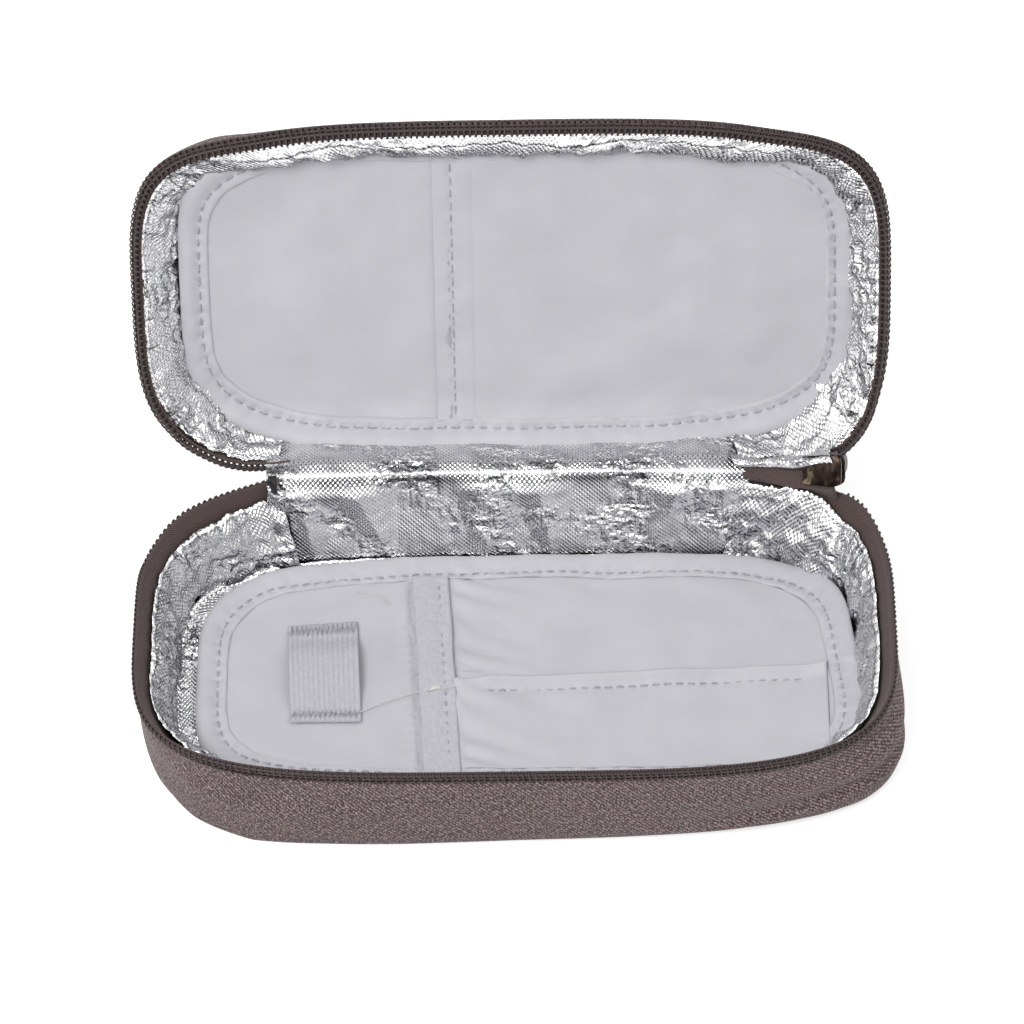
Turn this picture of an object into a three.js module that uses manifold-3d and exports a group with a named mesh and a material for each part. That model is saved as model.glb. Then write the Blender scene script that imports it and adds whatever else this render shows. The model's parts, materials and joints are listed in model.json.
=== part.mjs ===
// Insulin cooling case: a soft zipped box in heather fabric with a foil lining, lying open.
// Millimetres, +X along the length, +Y towards the hinge, +Z up, origin at the centre of the underside.

import * as THREE from "three";
import { mergeVertices } from "three/addons/utils/BufferGeometryUtils.js";
import Module from "manifold-3d";

const wasm = await Module();
wasm.setup();

// Driving dimensions of the shut case
const caseLength = 200;
const caseWidth = 100;
const baseHeight = 31;
const lidHeight = 21;
const cornerExponent = 3.9;
const edgeRadius = 7;
const lidOpenAngle = 118 * THREE.MathUtils.DEG2RAD;

// Layers of the walls, from the outside in
const clearance = 0.3;
const fabricThickness = 1;
const tapeThickness = 0.7;
const tapeWidth = 12;
const foilThickness = 0.5;
const foamThickness = 3.6;
const fabricTopDrop = 4.8;
const tapeTopDrop = 0.8;
const foilTopDrop = 5;
const foamTopDrop = 8.8;
const liningFoot = 9;
const seamTurnShare = 0.62;

// Zip
const toothPitch = 2.8;
const toothThickness = 1;
const coilHeight = 3.2;
const toothMesh = 0.25;
const toothGap = 0.4;
const toothTipShare = 0.12;
const zipLeftMargin = 34;
const zipRightMargin = 11.4;
const stopLength = 2.4;
const stopReach = 2.5;
const stopOverlap = 0.4;

// Closed stretch of the zip behind the slider
const chainStartMargin = 36.6;
const chainEndMargin = 12;
const tailRestShare = 0.38;
const chainTapeHalf = 4.4;
const chainHalf = 3;
const chainPostLap = 0.32504;
const chainTapeGap = 0.3;
const rightStopLength = 2;

// Slider and pull
const sliderLength = 10.7;
const sliderRearHalf = 3.7;
const sliderNoseHalf = 4.3;
const sliderPlate = 1;
const sliderNoseRound = 3;
const channelHalf = 3.3;
const channelNoseHalf = 3.8;
const postLength = 3;
const postWidth = 2.6;
const bridgeLength = 7;
const bridgeWidth = 2;
const bridgeBar = 0.9;
const pullBarRadius = 0.5;
const pullLength = 18;
const pullWidth = 5.2;
const pullRootWidth = 4.6;
const pullThickness = 1.2;
const pullWindowLength = 4.4;
const pullGap = 0.4;

// Hinge of plain fabric between the zip's ends
const hingeOffset = 0.6;
const hingeColumns = 10;
const hingeTurns = 5;

// Nylon panel on the base's floor: gaps to the lining's foot, and reaches from the panel's left end
const padSideGap = 1;
const padLeftGap = 5.5;
const padRightGap = 1.5;
const padExponent = 3.4;
const backingThickness = 0.8;
const sheetThickness = 0.6;
const bindingWidth = 9.5;
const bindingThickness = 0.8;
const bandWidth = 10.4;
const bandBackReach = 63.5;
const bandFrontReach = 67.2;
const pocketMouthLeft = -7.6;
const pocketMouthRight = -0.9;
const mouthRightMargin = 11;
const hemOverlap = 3.5;
const hemSeat = 2;

// Elastic loop on the left of that panel
const loopReach = 34.2;
const loopWidth = 18.8;
const loopLength = 29.2;
const loopForward = 1.6;
const loopThickness = 0.9;
const loopGap = 1.3;
const loopFoot = 4;
const loopRise = 3;
const loopRibs = 14;
const loopRibDepth = 0.3;

// Nylon panel in the lid, with the same gaps and reaches
const lidPadSideGap = 1.5;
const lidPadLeftGap = 0.9;
const lidPadRightGap = 2.1;
const lidBindingWidth = 8.7;
const dividerSeamReach = 74;
const dividerFoldWidth = 4.8;
const dividerStripReach = 5.2;

// Smoothness
const loopSteps = 44;
const arcSteps = 3;
const lengthSamples = 1440;
const overrun = 20;

const halfLength = caseLength / 2;
const halfWidth = caseWidth / 2;
const tapeInset = fabricThickness + clearance;
const tapeInner = tapeInset + tapeThickness;
const foilInset = tapeInner + clearance;
const hingeY = halfWidth + hingeOffset;
const zipLeftEnd = zipLeftMargin - halfLength;
const zipRightEnd = halfLength - zipRightMargin;
const chainStart = halfLength - chainStartMargin;
const chainEnd = halfLength - chainEndMargin;
const hingeLeft = zipLeftEnd + stopLength + 2 * clearance;
const hingeRight = chainStart - tapeInner / 2 - clearance;
const floorFoam = fabricThickness + clearance;
const floorFoil = floorFoam + foamThickness + clearance;
const floorBacking = floorFoil + foilThickness + clearance;
const floorSheet = floorBacking + backingThickness + clearance;
const floorTrim = floorSheet + sheetThickness + clearance;
const tailAngle = tailRestShare * lidOpenAngle;

const colours = {
  heather: { color: "#6f6362", roughness: 0.95, metalness: 0 },
  tape: { color: "#463a39", roughness: 0.9, metalness: 0 },
  coil: { color: "#2f2828", roughness: 0.5, metalness: 0 },
  foil: { color: "#c9ccd0", roughness: 0.25, metalness: 0.9 },
  foam: { color: "#e8e6e0", roughness: 1, metalness: 0 },
  nylon: { color: "#c4c3ca", roughness: 0.6, metalness: 0 },
  stop: { color: "#232021", roughness: 0.5, metalness: 0 },
  slider: { color: "#5c5650", roughness: 0.35, metalness: 1 },
};

// Plan outline: a superellipse, and the same outline drawn in by an inset
function planPoint(turn, inset, along = halfLength, across = halfWidth, exponent = cornerExponent) {
  const power = 2 / exponent;
  const c = Math.cos(turn);
  const s = Math.sin(turn);
  return [
    (along - inset) * Math.sign(c) * Math.abs(c) ** power,
    (across - inset) * Math.sign(s) * Math.abs(s) ** power,
  ];
}

// Turn of the rim point at a given x on the hinge side
function rearTurn(x) {
  const c = Math.sign(x) * (Math.abs(x) / halfLength) ** (cornerExponent / 2);
  return Math.acos(c);
}

function rimY(x, inset = 0) {
  return planPoint(rearTurn(x), inset)[1];
}

// Closed body from rings of points: each ring joins the next, and the ends are capped or closed on themselves
function bodyFromRings(rings, closedLoop = false) {
  const count = rings[0].length;
  const positions = rings.flat(2);
  const faces = [];
  const last = closedLoop ? rings.length : rings.length - 1;
  for (let i = 0; i < last; i++) {
    const a = i * count;
    const b = ((i + 1) % rings.length) * count;
    for (let j = 0; j < count; j++) {
      const k = (j + 1) % count;
      faces.push(a + j, b + j, b + k, a + j, b + k, a + k);
    }
  }
  if (!closedLoop) {
    const end = (rings.length - 1) * count;
    const flat = capTriangles(rings[0]);
    const flatEnd = capTriangles(rings[rings.length - 1]);
    for (const [p, q, r] of flat) faces.push(p, q, r);
    for (const [p, q, r] of flatEnd) faces.push(end + p, end + r, end + q);
  }
  return solidGeometry(positions, faces);
}

// Triangles over one ring, laid out in the plane that the ring lies nearest to
function capTriangles(ring) {
  const normal = new THREE.Vector3();
  ring.forEach((p, i) => {
    const q = ring[(i + 1) % ring.length];
    normal.x += (p[1] - q[1]) * (p[2] + q[2]);
    normal.y += (p[2] - q[2]) * (p[0] + q[0]);
    normal.z += (p[0] - q[0]) * (p[1] + q[1]);
  });
  normal.normalize();
  const side = Math.abs(normal.z) > Math.SQRT1_2
    ? new THREE.Vector3(1, 0, 0)
    : new THREE.Vector3(0, 0, 1);
  const u = side.clone().addScaledVector(normal, -side.dot(normal)).normalize();
  const v = new THREE.Vector3().crossVectors(normal, u);
  const flat = ring.map((p) => {
    const point = new THREE.Vector3(...p);
    return new THREE.Vector2(point.dot(u), point.dot(v));
  });
  return THREE.ShapeUtils.triangulateShape(flat, []);
}

// Geometry whose faces point out, whichever way its rings ran
function solidGeometry(positions, faces) {
  const geometry = new THREE.BufferGeometry();
  geometry.setAttribute("position", new THREE.Float32BufferAttribute(positions, 3));
  geometry.setIndex(faces);
  if (signedVolume(geometry) < 0) {
    const index = geometry.index.array;
    for (let i = 0; i < index.length; i += 3) {
      const keep = index[i + 1];
      index[i + 1] = index[i + 2];
      index[i + 2] = keep;
    }
  }
  return geometry;
}

function signedVolume(geometry) {
  const p = geometry.attributes.position;
  const index = geometry.index.array;
  const a = new THREE.Vector3();
  const b = new THREE.Vector3();
  const c = new THREE.Vector3();
  let volume = 0;
  for (let i = 0; i < index.length; i += 3) {
    a.fromBufferAttribute(p, index[i]);
    b.fromBufferAttribute(p, index[i + 1]);
    c.fromBufferAttribute(p, index[i + 2]);
    volume += a.dot(b.cross(c)) / 6;
  }
  return volume;
}

// Solids for joins and cuts
function toManifold(geometry) {
  const plain = geometry.clone();
  plain.deleteAttribute("normal");
  plain.deleteAttribute("uv");
  const merged = mergeVertices(plain);
  const index = merged.index ? merged.index.array : [...merged.attributes.position.array.keys()];
  return new wasm.Manifold(new wasm.Mesh({
    numProp: 3,
    vertProperties: new Float32Array(merged.attributes.position.array),
    triVerts: new Uint32Array(index),
  }));
}

function fromManifold(solid) {
  const mesh = solid.getMesh();
  return solidGeometry([...mesh.vertProperties], [...mesh.triVerts]);
}

// Band swept round a whole plan; the profile holds points of inset and height
function ringBand(profile, plan = {}) {
  const { along, across, exponent, centre = 0 } = plan;
  const rings = [];
  for (let i = 0; i < loopSteps; i++) {
    const turn = (i / loopSteps) * 2 * Math.PI;
    rings.push(profile.map(([inset, z]) => {
      const [x, y] = planPoint(turn, inset, along, across, exponent);
      return [x + centre, y, z];
    }));
  }
  return bodyFromRings(rings, true);
}

// Strip swept along part of the rim, from the left zip end round the front to the right one
function rimStrip(profile) {
  const turns = zipTurns();
  return bodyFromRings(turns.map((turn) => (
    profile.map(([inset, z]) => [...planPoint(turn, inset), z])
  )));
}

function zipTurns() {
  const from = rearTurn(zipLeftEnd);
  const to = 2 * Math.PI + rearTurn(zipRightEnd);
  const step = (2 * Math.PI) / loopSteps;
  const turns = [from];
  for (let i = 0; i < 2 * loopSteps; i++) {
    const turn = i * step;
    if (turn > from + step / 4 && turn < to - step / 4) turns.push(turn);
  }
  turns.push(to);
  return turns;
}

// Dish closed by a flat floor: rings run from its lower middle out over its rim and back to its upper middle
function dish(profile, plan = {}) {
  const { along, across, exponent, centre = 0 } = plan;
  const positions = [];
  const faces = [];
  for (const [inset, z] of profile) {
    for (let i = 0; i < loopSteps; i++) {
      const turn = (i / loopSteps) * 2 * Math.PI;
      const [x, y] = planPoint(turn, inset, along, across, exponent);
      positions.push(x + centre, y, z);
    }
  }
  for (let r = 0; r + 1 < profile.length; r++) {
    for (let i = 0; i < loopSteps; i++) {
      const k = (i + 1) % loopSteps;
      const a = r * loopSteps;
      const b = a + loopSteps;
      faces.push(a + i, a + k, b + k, a + i, b + k, b + i);
    }
  }
  const lower = positions.length / 3;
  positions.push(centre, 0, profile[0][1]);
  positions.push(centre, 0, profile[profile.length - 1][1]);
  const top = (profile.length - 1) * loopSteps;
  for (let i = 0; i < loopSteps; i++) {
    const k = (i + 1) % loopSteps;
    faces.push(lower, k, i);
    faces.push(lower + 1, top + i, top + k);
  }
  return solidGeometry(positions, faces);
}

// Flat frame between an outline and the same outline drawn in
function borderFrame(plan, width, bottom, thickness) {
  const top = bottom + thickness;
  return ringBand([[0, bottom], [0, top], [width, top], [width, bottom]], plan);
}

// Rounded edge between the flat underside and the wall, as points of inset and height
function edgeArc(radius, fromShare, toShare) {
  const points = [];
  for (let i = 0; i <= arcSteps; i++) {
    const share = THREE.MathUtils.lerp(fromShare, toShare, i / arcSteps);
    const angle = share * Math.PI / 2;
    points.push([edgeRadius - radius * Math.sin(angle), edgeRadius - radius * Math.cos(angle)]);
  }
  return points;
}

// Share of the quarter turn at which an arc of the rounded edge reaches a height
function edgeShareAt(radius, z) {
  return Math.acos(Math.min(1, (edgeRadius - z) / radius)) / (Math.PI / 2);
}

// Inner face of the sloping wall lining at a height, for a shell of a given height
function liningInset(z, height) {
  const top = height - foilTopDrop;
  const share = (top - z) / (top - floorBacking);
  return THREE.MathUtils.lerp(foilInset, liningFoot, share);
}

// One shell, base or lid, drawn with its floor down and its rim at the given height
function shellPieces(height) {
  const outer = edgeRadius;
  const inner = edgeRadius - fabricThickness;
  const foamOuter = inner - clearance;
  const fabricTop = height - fabricTopDrop;
  const seamGapShare = clearance / (edgeRadius * Math.PI / 2);
  const bottomPanel = dish([
    [outer, 0],
    ...edgeArc(outer, 0, seamTurnShare).slice(1),
    ...edgeArc(inner, 0, seamTurnShare).reverse().slice(0, -1),
    [outer, fabricThickness],
  ]);
  const sideBand = ringBand([
    ...edgeArc(outer, seamTurnShare + seamGapShare, 1),
    [0, fabricTop],
    [fabricThickness, fabricTop],
    ...edgeArc(inner, seamTurnShare + seamGapShare, 1).reverse(),
  ]);
  const foamTop = floorFoam + foamThickness;
  const bottomFoam = dish([
    ...edgeArc(foamOuter, 0, edgeShareAt(foamOuter, foamTop)),
  ]);
  const wallFoot = foamTop + clearance;
  const rebate = height - tapeWidth - clearance;
  const foamHead = height - foamTopDrop;
  const wallFoam = ringBand([
    ...edgeArc(foamOuter, edgeShareAt(foamOuter, wallFoot), 1),
    [tapeInset, rebate],
    [foilInset, rebate],
    [foilInset, foamHead],
    [liningInset(foamHead, height) - clearance, foamHead],
    [liningFoot - clearance, wallFoot],
  ]);
  const foilWall = ringBand([
    [foilInset, height - foilTopDrop],
    [foilInset + foilThickness, height - foilTopDrop],
    [liningFoot + foilThickness, floorBacking],
    [liningFoot, floorBacking],
  ]);
  const foilFloor = dish([
    [liningFoot, floorFoil],
    [liningFoot, floorFoil + foilThickness],
  ]);
  return { bottomPanel, sideBand, bottomFoam, wallFoam, foilWall, foilFloor };
}

function zipTape(height) {
  return rimStrip([
    [tapeInset, height - tapeWidth],
    [tapeInset, height - tapeTopDrop],
    [tapeInner, height - tapeTopDrop],
    [tapeInner, height - tapeWidth],
  ]);
}

// Distance along the rim, for placing the teeth evenly
const rimLengths = [];
for (let i = 0; i <= lengthSamples; i++) {
  const share = i / lengthSamples;
  const turn = THREE.MathUtils.lerp(rearTurn(zipLeftEnd), 2 * Math.PI + rearTurn(zipRightEnd), share);
  const point = planPoint(turn, 0);
  const before = rimLengths[i - 1];
  const step = before ? Math.hypot(point[0] - before.point[0], point[1] - before.point[1]) : 0;
  rimLengths.push({ turn, point, length: (before ? before.length : 0) + step });
}
const zipLength = rimLengths[lengthSamples].length;

function turnAtLength(length) {
  const wanted = THREE.MathUtils.clamp(length, 0, zipLength);
  let low = 0;
  let high = lengthSamples;
  while (high - low > 1) {
    const middle = (low + high) >> 1;
    if (rimLengths[middle].length <= wanted) low = middle;
    else high = middle;
  }
  const from = rimLengths[low];
  const to = rimLengths[high];
  return from.turn + (to.turn - from.turn) * (wanted - from.length) / (to.length - from.length);
}

// Row of coil teeth: a strip whose top edge rises and falls once for every tooth
function toothRow(shift, rise) {
  const valley = -(toothMesh + toothGap);
  const tipHalf = toothPitch * toothTipShare / 2;
  const count = Math.floor(zipLength / toothPitch) - 1;
  const first = (zipLength - (count + 1 / 2) * toothPitch) / 2 + shift * toothPitch;
  const place = (along, inset, z) => [...planPoint(turnAtLength(along), inset), baseHeight + z];
  const positions = [];
  const faces = [];
  const add = (along, z) => {
    positions.push(...place(along, 0, rise * z), ...place(along, toothThickness, rise * z));
    return positions.length / 3 - 2;
  };
  let bottom = add(first, -coilHeight);
  let low = add(first, valley);
  const startBottom = bottom;
  const startLow = low;
  for (let i = 0; i < count; i++) {
    const from = first + i * toothPitch;
    const tipStart = add(from + toothPitch / 2 - tipHalf, toothMesh);
    const tipEnd = add(from + toothPitch / 2 + tipHalf, toothMesh);
    const nextBottom = add(from + toothPitch, -coilHeight);
    const nextLow = add(from + toothPitch, valley);
    const quads = [
      [bottom, low, tipStart], [bottom, tipStart, nextBottom],
      [tipStart, tipEnd, nextBottom], [tipEnd, nextLow, nextBottom],
    ];
    for (const [p, q, r] of quads) {
      faces.push(p, q, r);
      faces.push(p + 1, r + 1, q + 1);
    }
    const edge = [[low, tipStart], [tipStart, tipEnd], [tipEnd, nextLow], [nextBottom, bottom]];
    for (const [p, q] of edge) faces.push(p, p + 1, q + 1, p, q + 1, q);
    bottom = nextBottom;
    low = nextLow;
  }
  faces.push(startBottom, startBottom + 1, startLow + 1, startBottom, startLow + 1, startLow);
  faces.push(low, low + 1, bottom + 1, low, bottom + 1, bottom);
  return solidGeometry(positions, faces);
}

// Hinge frame: a point of the shut case turned open about the fabric hinge
function turnedPoint([x, y, z], angle) {
  const dy = y - hingeY;
  const dz = z - baseHeight;
  const c = Math.cos(angle);
  const s = Math.sin(angle);
  return [x, hingeY + dy * c + dz * s, baseHeight - dy * s + dz * c];
}

// Flexible sheet across the hinge: rises from the base, turns with the lid, runs on into the lid
function hingeSheet(outerInset, innerInset, drop) {
  const path = [{ z: -drop, turn: 0 }];
  for (let i = 0; i <= hingeTurns; i++) path.push({ z: 0, turn: i / hingeTurns });
  path.push({ z: drop, turn: 1 });
  const rows = path.map(({ z, turn }) => [outerInset, innerInset].map((inset) => {
    const line = [];
    for (let i = 0; i <= hingeColumns; i++) {
      const x = THREE.MathUtils.lerp(hingeLeft, hingeRight, i / hingeColumns);
      line.push(turnedPoint([x, rimY(x) - inset, baseHeight + z], turn * lidOpenAngle));
    }
    return line;
  }));
  return plateFromGrids(rows.map((row) => row[0]), rows.map((row) => row[1]));
}

// Thin body between two grids of points that face each other
function plateFromGrids(front, back) {
  const rows = front.length;
  const columns = front[0].length;
  const positions = [...front.flat(2), ...back.flat(2)];
  const offset = rows * columns;
  const faces = [];
  for (let i = 0; i + 1 < rows; i++) {
    for (let j = 0; j + 1 < columns; j++) {
      const a = i * columns + j;
      const b = a + 1;
      const c = a + columns;
      const d = c + 1;
      faces.push(a, b, d, a, d, c);
      faces.push(offset + a, offset + d, offset + b, offset + a, offset + c, offset + d);
    }
  }
  const edge = [];
  for (let j = 0; j < columns; j++) edge.push(j);
  for (let i = 1; i < rows; i++) edge.push(i * columns + columns - 1);
  for (let j = columns - 2; j >= 0; j--) edge.push((rows - 1) * columns + j);
  for (let i = rows - 2; i > 0; i--) edge.push(i * columns);
  edge.forEach((p, i) => {
    const q = edge[(i + 1) % edge.length];
    faces.push(p, offset + p, offset + q, p, offset + q, q);
  });
  return solidGeometry(positions, faces);
}

// Local frame of the closed stretch: s along the chain, n outwards, w across the tape
const chainFrom = new THREE.Vector3(chainStart, rimY(chainStart), baseHeight);
const chainTo = new THREE.Vector3(chainEnd, rimY(chainEnd), baseHeight);
const chainDirection = chainTo.clone().sub(chainFrom).normalize();
const chainNormal = new THREE.Vector3(-chainDirection.y, chainDirection.x, 0);
const sliderRear = chainFrom.distanceTo(chainTo) - sliderLength - clearance;
const sliderMiddle = sliderRear + sliderLength / 2;
const chainReach = sliderRear + sliderLength - postLength + chainPostLap;

function chainPoint(s, n, w) {
  const point = chainFrom.clone()
    .addScaledVector(chainDirection, s)
    .addScaledVector(chainNormal, n);
  return [point.x, point.y, point.z + w];
}

function restPoint(s, n, w) {
  return turnedPoint(chainPoint(s, n, w), tailAngle);
}

function chainBox(fromS, toS, fromN, toN, fromW, toW) {
  const section = [[fromN, fromW], [toN, fromW], [toN, toW], [fromN, toW]];
  return bodyFromRings([fromS, toS].map((s) => section.map(([n, w]) => [s, n, w])));
}

// Places a body drawn in s, n, w where the tail rests
function atTail(geometry) {
  const p = geometry.attributes.position;
  const moved = [];
  for (let i = 0; i < p.count; i++) moved.push(...restPoint(p.getX(i), p.getY(i), p.getZ(i)));
  return solidGeometry(moved, [...geometry.index.array]);
}

// Two rows of teeth in mesh, cut as one zig-zag ribbed bar
function closedChain() {
  const from = rightStopLength + clearance;
  const count = Math.floor((chainReach - from) / toothPitch);
  const rings = [];
  for (let i = 0; i <= 2 * count; i++) {
    const s = from + i * toothPitch / 2;
    const ridge = i % 2 === 0 ? 0 : toothPitch * toothTipShare;
    rings.push([
      [s, -toothThickness, -chainHalf], [s, -ridge, -chainHalf], [s, 0, 0],
      [s, -ridge, chainHalf], [s, -toothThickness, chainHalf],
    ]);
  }
  return bodyFromRings(rings);
}

// Sheet of tape between the rim and the closed stretch, where the tape twists out of the wall
function tapeWeb(side) {
  const columns = hingeColumns;
  const webStart = chainStart / (1 - tapeInner / halfLength) + clearance;
  const rimZ = side * (fabricTopDrop + clearance);
  const behind = side * (tapeWidth - fabricTopDrop);
  const edgeW = side * (chainTapeHalf + clearance);
  const endAngle = side < 0 ? 0 : lidOpenAngle;
  const rows = [behind, rimZ, edgeW].map((reach, row) => [tapeInset, tapeInner].map((inset) => {
    const line = [];
    for (let i = 0; i <= columns; i++) {
      const share = i / columns;
      const x = THREE.MathUtils.lerp(webStart, zipRightEnd - clearance, share);
      const onRim = [...planPoint(rearTurn(x), inset), baseHeight + reach];
      const along = share * chainReach;
      const onTail = restPoint(along, -inset, reach);
      line.push(row < 2 ? turnedPoint(onRim, endAngle) : onTail);
    }
    return line;
  }));
  return plateFromGrids(rows.map((row) => row[0]), rows.map((row) => row[1]));
}

// Slider: two plates joined by a post at the nose, with side flanges that leave a slot for the tape
function sliderBody() {
  const bottom = -(tapeInner + clearance + sliderPlate);
  const top = clearance + sliderPlate;
  const outline = new THREE.Shape();
  const half = sliderLength / 2;
  outline.moveTo(-half, -sliderRearHalf);
  outline.lineTo(half - sliderNoseRound, -sliderNoseHalf);
  outline.quadraticCurveTo(half, -sliderNoseHalf, half, -sliderNoseHalf / 2);
  outline.lineTo(half, sliderNoseHalf / 2);
  outline.quadraticCurveTo(half, sliderNoseHalf, half - sliderNoseRound, sliderNoseHalf);
  outline.lineTo(-half, sliderRearHalf);
  outline.closePath();
  const body = toManifold(extrudeAlongN(outline, bottom, top));
  const channel = new THREE.Shape();
  channel.moveTo(-half - overrun, -channelHalf);
  channel.lineTo(0, -channelHalf);
  channel.lineTo(half, -channelNoseHalf);
  channel.lineTo(half + overrun, -channelNoseHalf);
  channel.lineTo(half + overrun, channelNoseHalf);
  channel.lineTo(half, channelNoseHalf);
  channel.lineTo(0, channelHalf);
  channel.lineTo(-half - overrun, channelHalf);
  channel.closePath();
  const hollow = toManifold(extrudeAlongN(channel, bottom + sliderPlate, top - sliderPlate));
  const slot = new THREE.Shape();
  slot.moveTo(-half - overrun, -overrun);
  slot.lineTo(half + overrun, -overrun);
  slot.lineTo(half + overrun, overrun);
  slot.lineTo(-half - overrun, overrun);
  slot.closePath();
  const slotCut = toManifold(extrudeAlongN(slot, bottom + sliderPlate, -toothThickness));
  const post = new THREE.Shape();
  post.moveTo(half - postLength, 0);
  post.lineTo(half - postLength / 2, -postWidth / 2);
  post.lineTo(half - pullGap, 0);
  post.lineTo(half - postLength / 2, postWidth / 2);
  post.closePath();
  const joiner = toManifold(extrudeAlongN(post, bottom + sliderPlate / 2, top - sliderPlate / 2));
  const shell = body.subtract(hollow).subtract(slotCut).add(joiner);
  return fromManifold(shell.add(bridgeSolid(top)));
}

// Flat shape given a depth, each point of it then placed in s, n, w
function extrudedBody(shape, depth, curveSegments, place) {
  const geometry = new THREE.ExtrudeGeometry(shape, { depth, bevelEnabled: false, curveSegments });
  geometry.deleteAttribute("normal");
  geometry.deleteAttribute("uv");
  const merged = mergeVertices(geometry);
  const p = merged.attributes.position;
  const positions = [];
  for (let i = 0; i < p.count; i++) positions.push(...place(p.getX(i), p.getY(i), p.getZ(i)));
  return solidGeometry(positions, [...merged.index.array]);
}

// Shape drawn in s and w, given depth along n, and centred on the slider
function extrudeAlongN(shape, fromN, toN) {
  return extrudedBody(shape, toN - fromN, arcSteps, (x, y, z) => [x + sliderMiddle, z + fromN, y]);
}

// Arched bridge that holds the pull's bar
const pullBarN = clearance + sliderPlate + pullGap + pullThickness / 2;

function bridgeSolid(top) {
  const crown = pullBarN + pullBarRadius + pullGap;
  const half = bridgeLength / 2;
  const arch = new THREE.Shape();
  const root = top - sliderPlate / 2;
  arch.moveTo(-half, root);
  arch.lineTo(-half, crown - bridgeBar);
  arch.quadraticCurveTo(-half, crown + bridgeBar, -half / 3, crown + bridgeBar);
  arch.lineTo(half / 3, crown + bridgeBar);
  arch.quadraticCurveTo(half, crown + bridgeBar, half, crown - bridgeBar);
  arch.lineTo(half, root);
  arch.lineTo(half - bridgeBar, root);
  arch.lineTo(half - bridgeBar, crown - bridgeBar);
  arch.quadraticCurveTo(half - bridgeBar, crown, half / 3, crown);
  arch.lineTo(-half / 3, crown);
  arch.quadraticCurveTo(bridgeBar - half, crown, bridgeBar - half, crown - bridgeBar);
  arch.lineTo(bridgeBar - half, root);
  arch.closePath();
  return toManifold(extrudedBody(arch, bridgeWidth, arcSteps, (x, y, z) => (
    [x + sliderMiddle, y, z - bridgeWidth / 2]
  )));
}

// Pull tab, standing straight out from the slider: its bar lies under the bridge, across the tape
function pullTab() {
  const windowHalf = bridgeWidth / 2 + pullGap;
  const rootHalf = pullRootWidth / 2;
  const tipHalf = pullWidth / 2;
  const shape = new THREE.Shape();
  shape.moveTo(-rootHalf, -pullBarRadius);
  shape.lineTo(rootHalf, -pullBarRadius);
  shape.lineTo(tipHalf, pullWindowLength + tipHalf);
  shape.lineTo(tipHalf, pullLength - tipHalf);
  shape.absarc(0, pullLength - tipHalf, tipHalf, 0, Math.PI, false);
  shape.lineTo(-tipHalf, pullWindowLength + tipHalf);
  shape.closePath();
  const hole = new THREE.Path();
  hole.moveTo(-windowHalf, pullBarRadius);
  hole.lineTo(-windowHalf, pullWindowLength);
  hole.lineTo(windowHalf, pullWindowLength);
  hole.lineTo(windowHalf, pullBarRadius);
  hole.closePath();
  shape.holes.push(hole);
  return extrudedBody(shape, pullThickness, 2 * arcSteps, (x, y, z) => (
    [z - pullThickness / 2 + sliderMiddle, y + pullBarN, x]
  ));
}

// Panel pieces are cut from the panel's outline, which stays clear of the lining's foot
function panelPlan(sideGap, leftGap, rightGap) {
  const foot = liningFoot + foilThickness;
  const along = halfLength - foot - (leftGap + rightGap) / 2;
  const centre = (leftGap - rightGap) / 2;
  return { along, across: halfWidth - foot - sideGap, exponent: padExponent, centre, left: centre - along };
}

function panelSlab(plan, inset, bottom, thickness) {
  return dish([[inset, bottom], [inset, bottom + thickness]], plan);
}

// Prism from corner points in x and y between two heights
function cutPrism(corners, bottom, top) {
  return bodyFromRings([bottom, top].map((z) => corners.map(([x, y]) => [x, y, z])));
}

function clipped(slab, cutter) {
  return fromManifold(toManifold(slab).intersect(toManifold(cutter)));
}

// Straight line across the panel through two points, read at y
function lineAt(y, fromY, fromX, toY, toX) {
  return fromX + (toX - fromX) * (y - fromY) / (toY - fromY);
}

function organizerPieces() {
  const plan = panelPlan(padSideGap, padLeftGap, padRightGap);
  const sheetInset = bindingWidth / 3;
  const inside = bindingWidth + clearance;
  const far = caseLength;
  const centreAt = (y) => (
    plan.left + lineAt(y, plan.across, bandBackReach, -plan.across, bandFrontReach)
  );
  const mouthRight = plan.centre + plan.along - mouthRightMargin;
  const mouthAt = (x) => lineAt(x, centreAt(pocketMouthLeft), pocketMouthLeft, mouthRight, pocketMouthRight);
  const low = floorSheet - clearance;
  const high = floorSheet + sheetThickness + clearance;
  const slab = panelSlab(plan, sheetInset, floorSheet, sheetThickness);
  const left = clipped(slab, cutPrism([
    [-far, -far], [centreAt(-far) - clearance, -far], [centreAt(far) - clearance, far], [-far, far],
  ], low, high));
  const splitY = mouthAt(centreAt(pocketMouthLeft)) + hemOverlap;
  const lower = clipped(slab, cutPrism([
    [centreAt(-far), -far], [far, -far], [far, mouthAt(far) + hemOverlap], [centreAt(splitY), splitY],
  ], low, high));
  const upper = upperSheet(plan, slab, { centreAt, mouthAt, splitY, far, inside });
  const trimTop = floorTrim + sheetThickness;
  const bandSlab = panelSlab(plan, inside, floorTrim, sheetThickness);
  const half = bandWidth / 2;
  const band = clipped(bandSlab, cutPrism([
    [centreAt(-far) - half, -far], [centreAt(-far) + half, -far],
    [centreAt(far) + half, far], [centreAt(far) - half, far],
  ], floorTrim - clearance, trimTop + clearance));
  return {
    backing: panelSlab(plan, clearance, floorBacking, backingThickness),
    binding: borderFrame(plan, bindingWidth, floorTrim, bindingThickness),
    left, upper, lower, band,
    loop: penLoop(plan.left + loopReach),
  };
}

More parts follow.
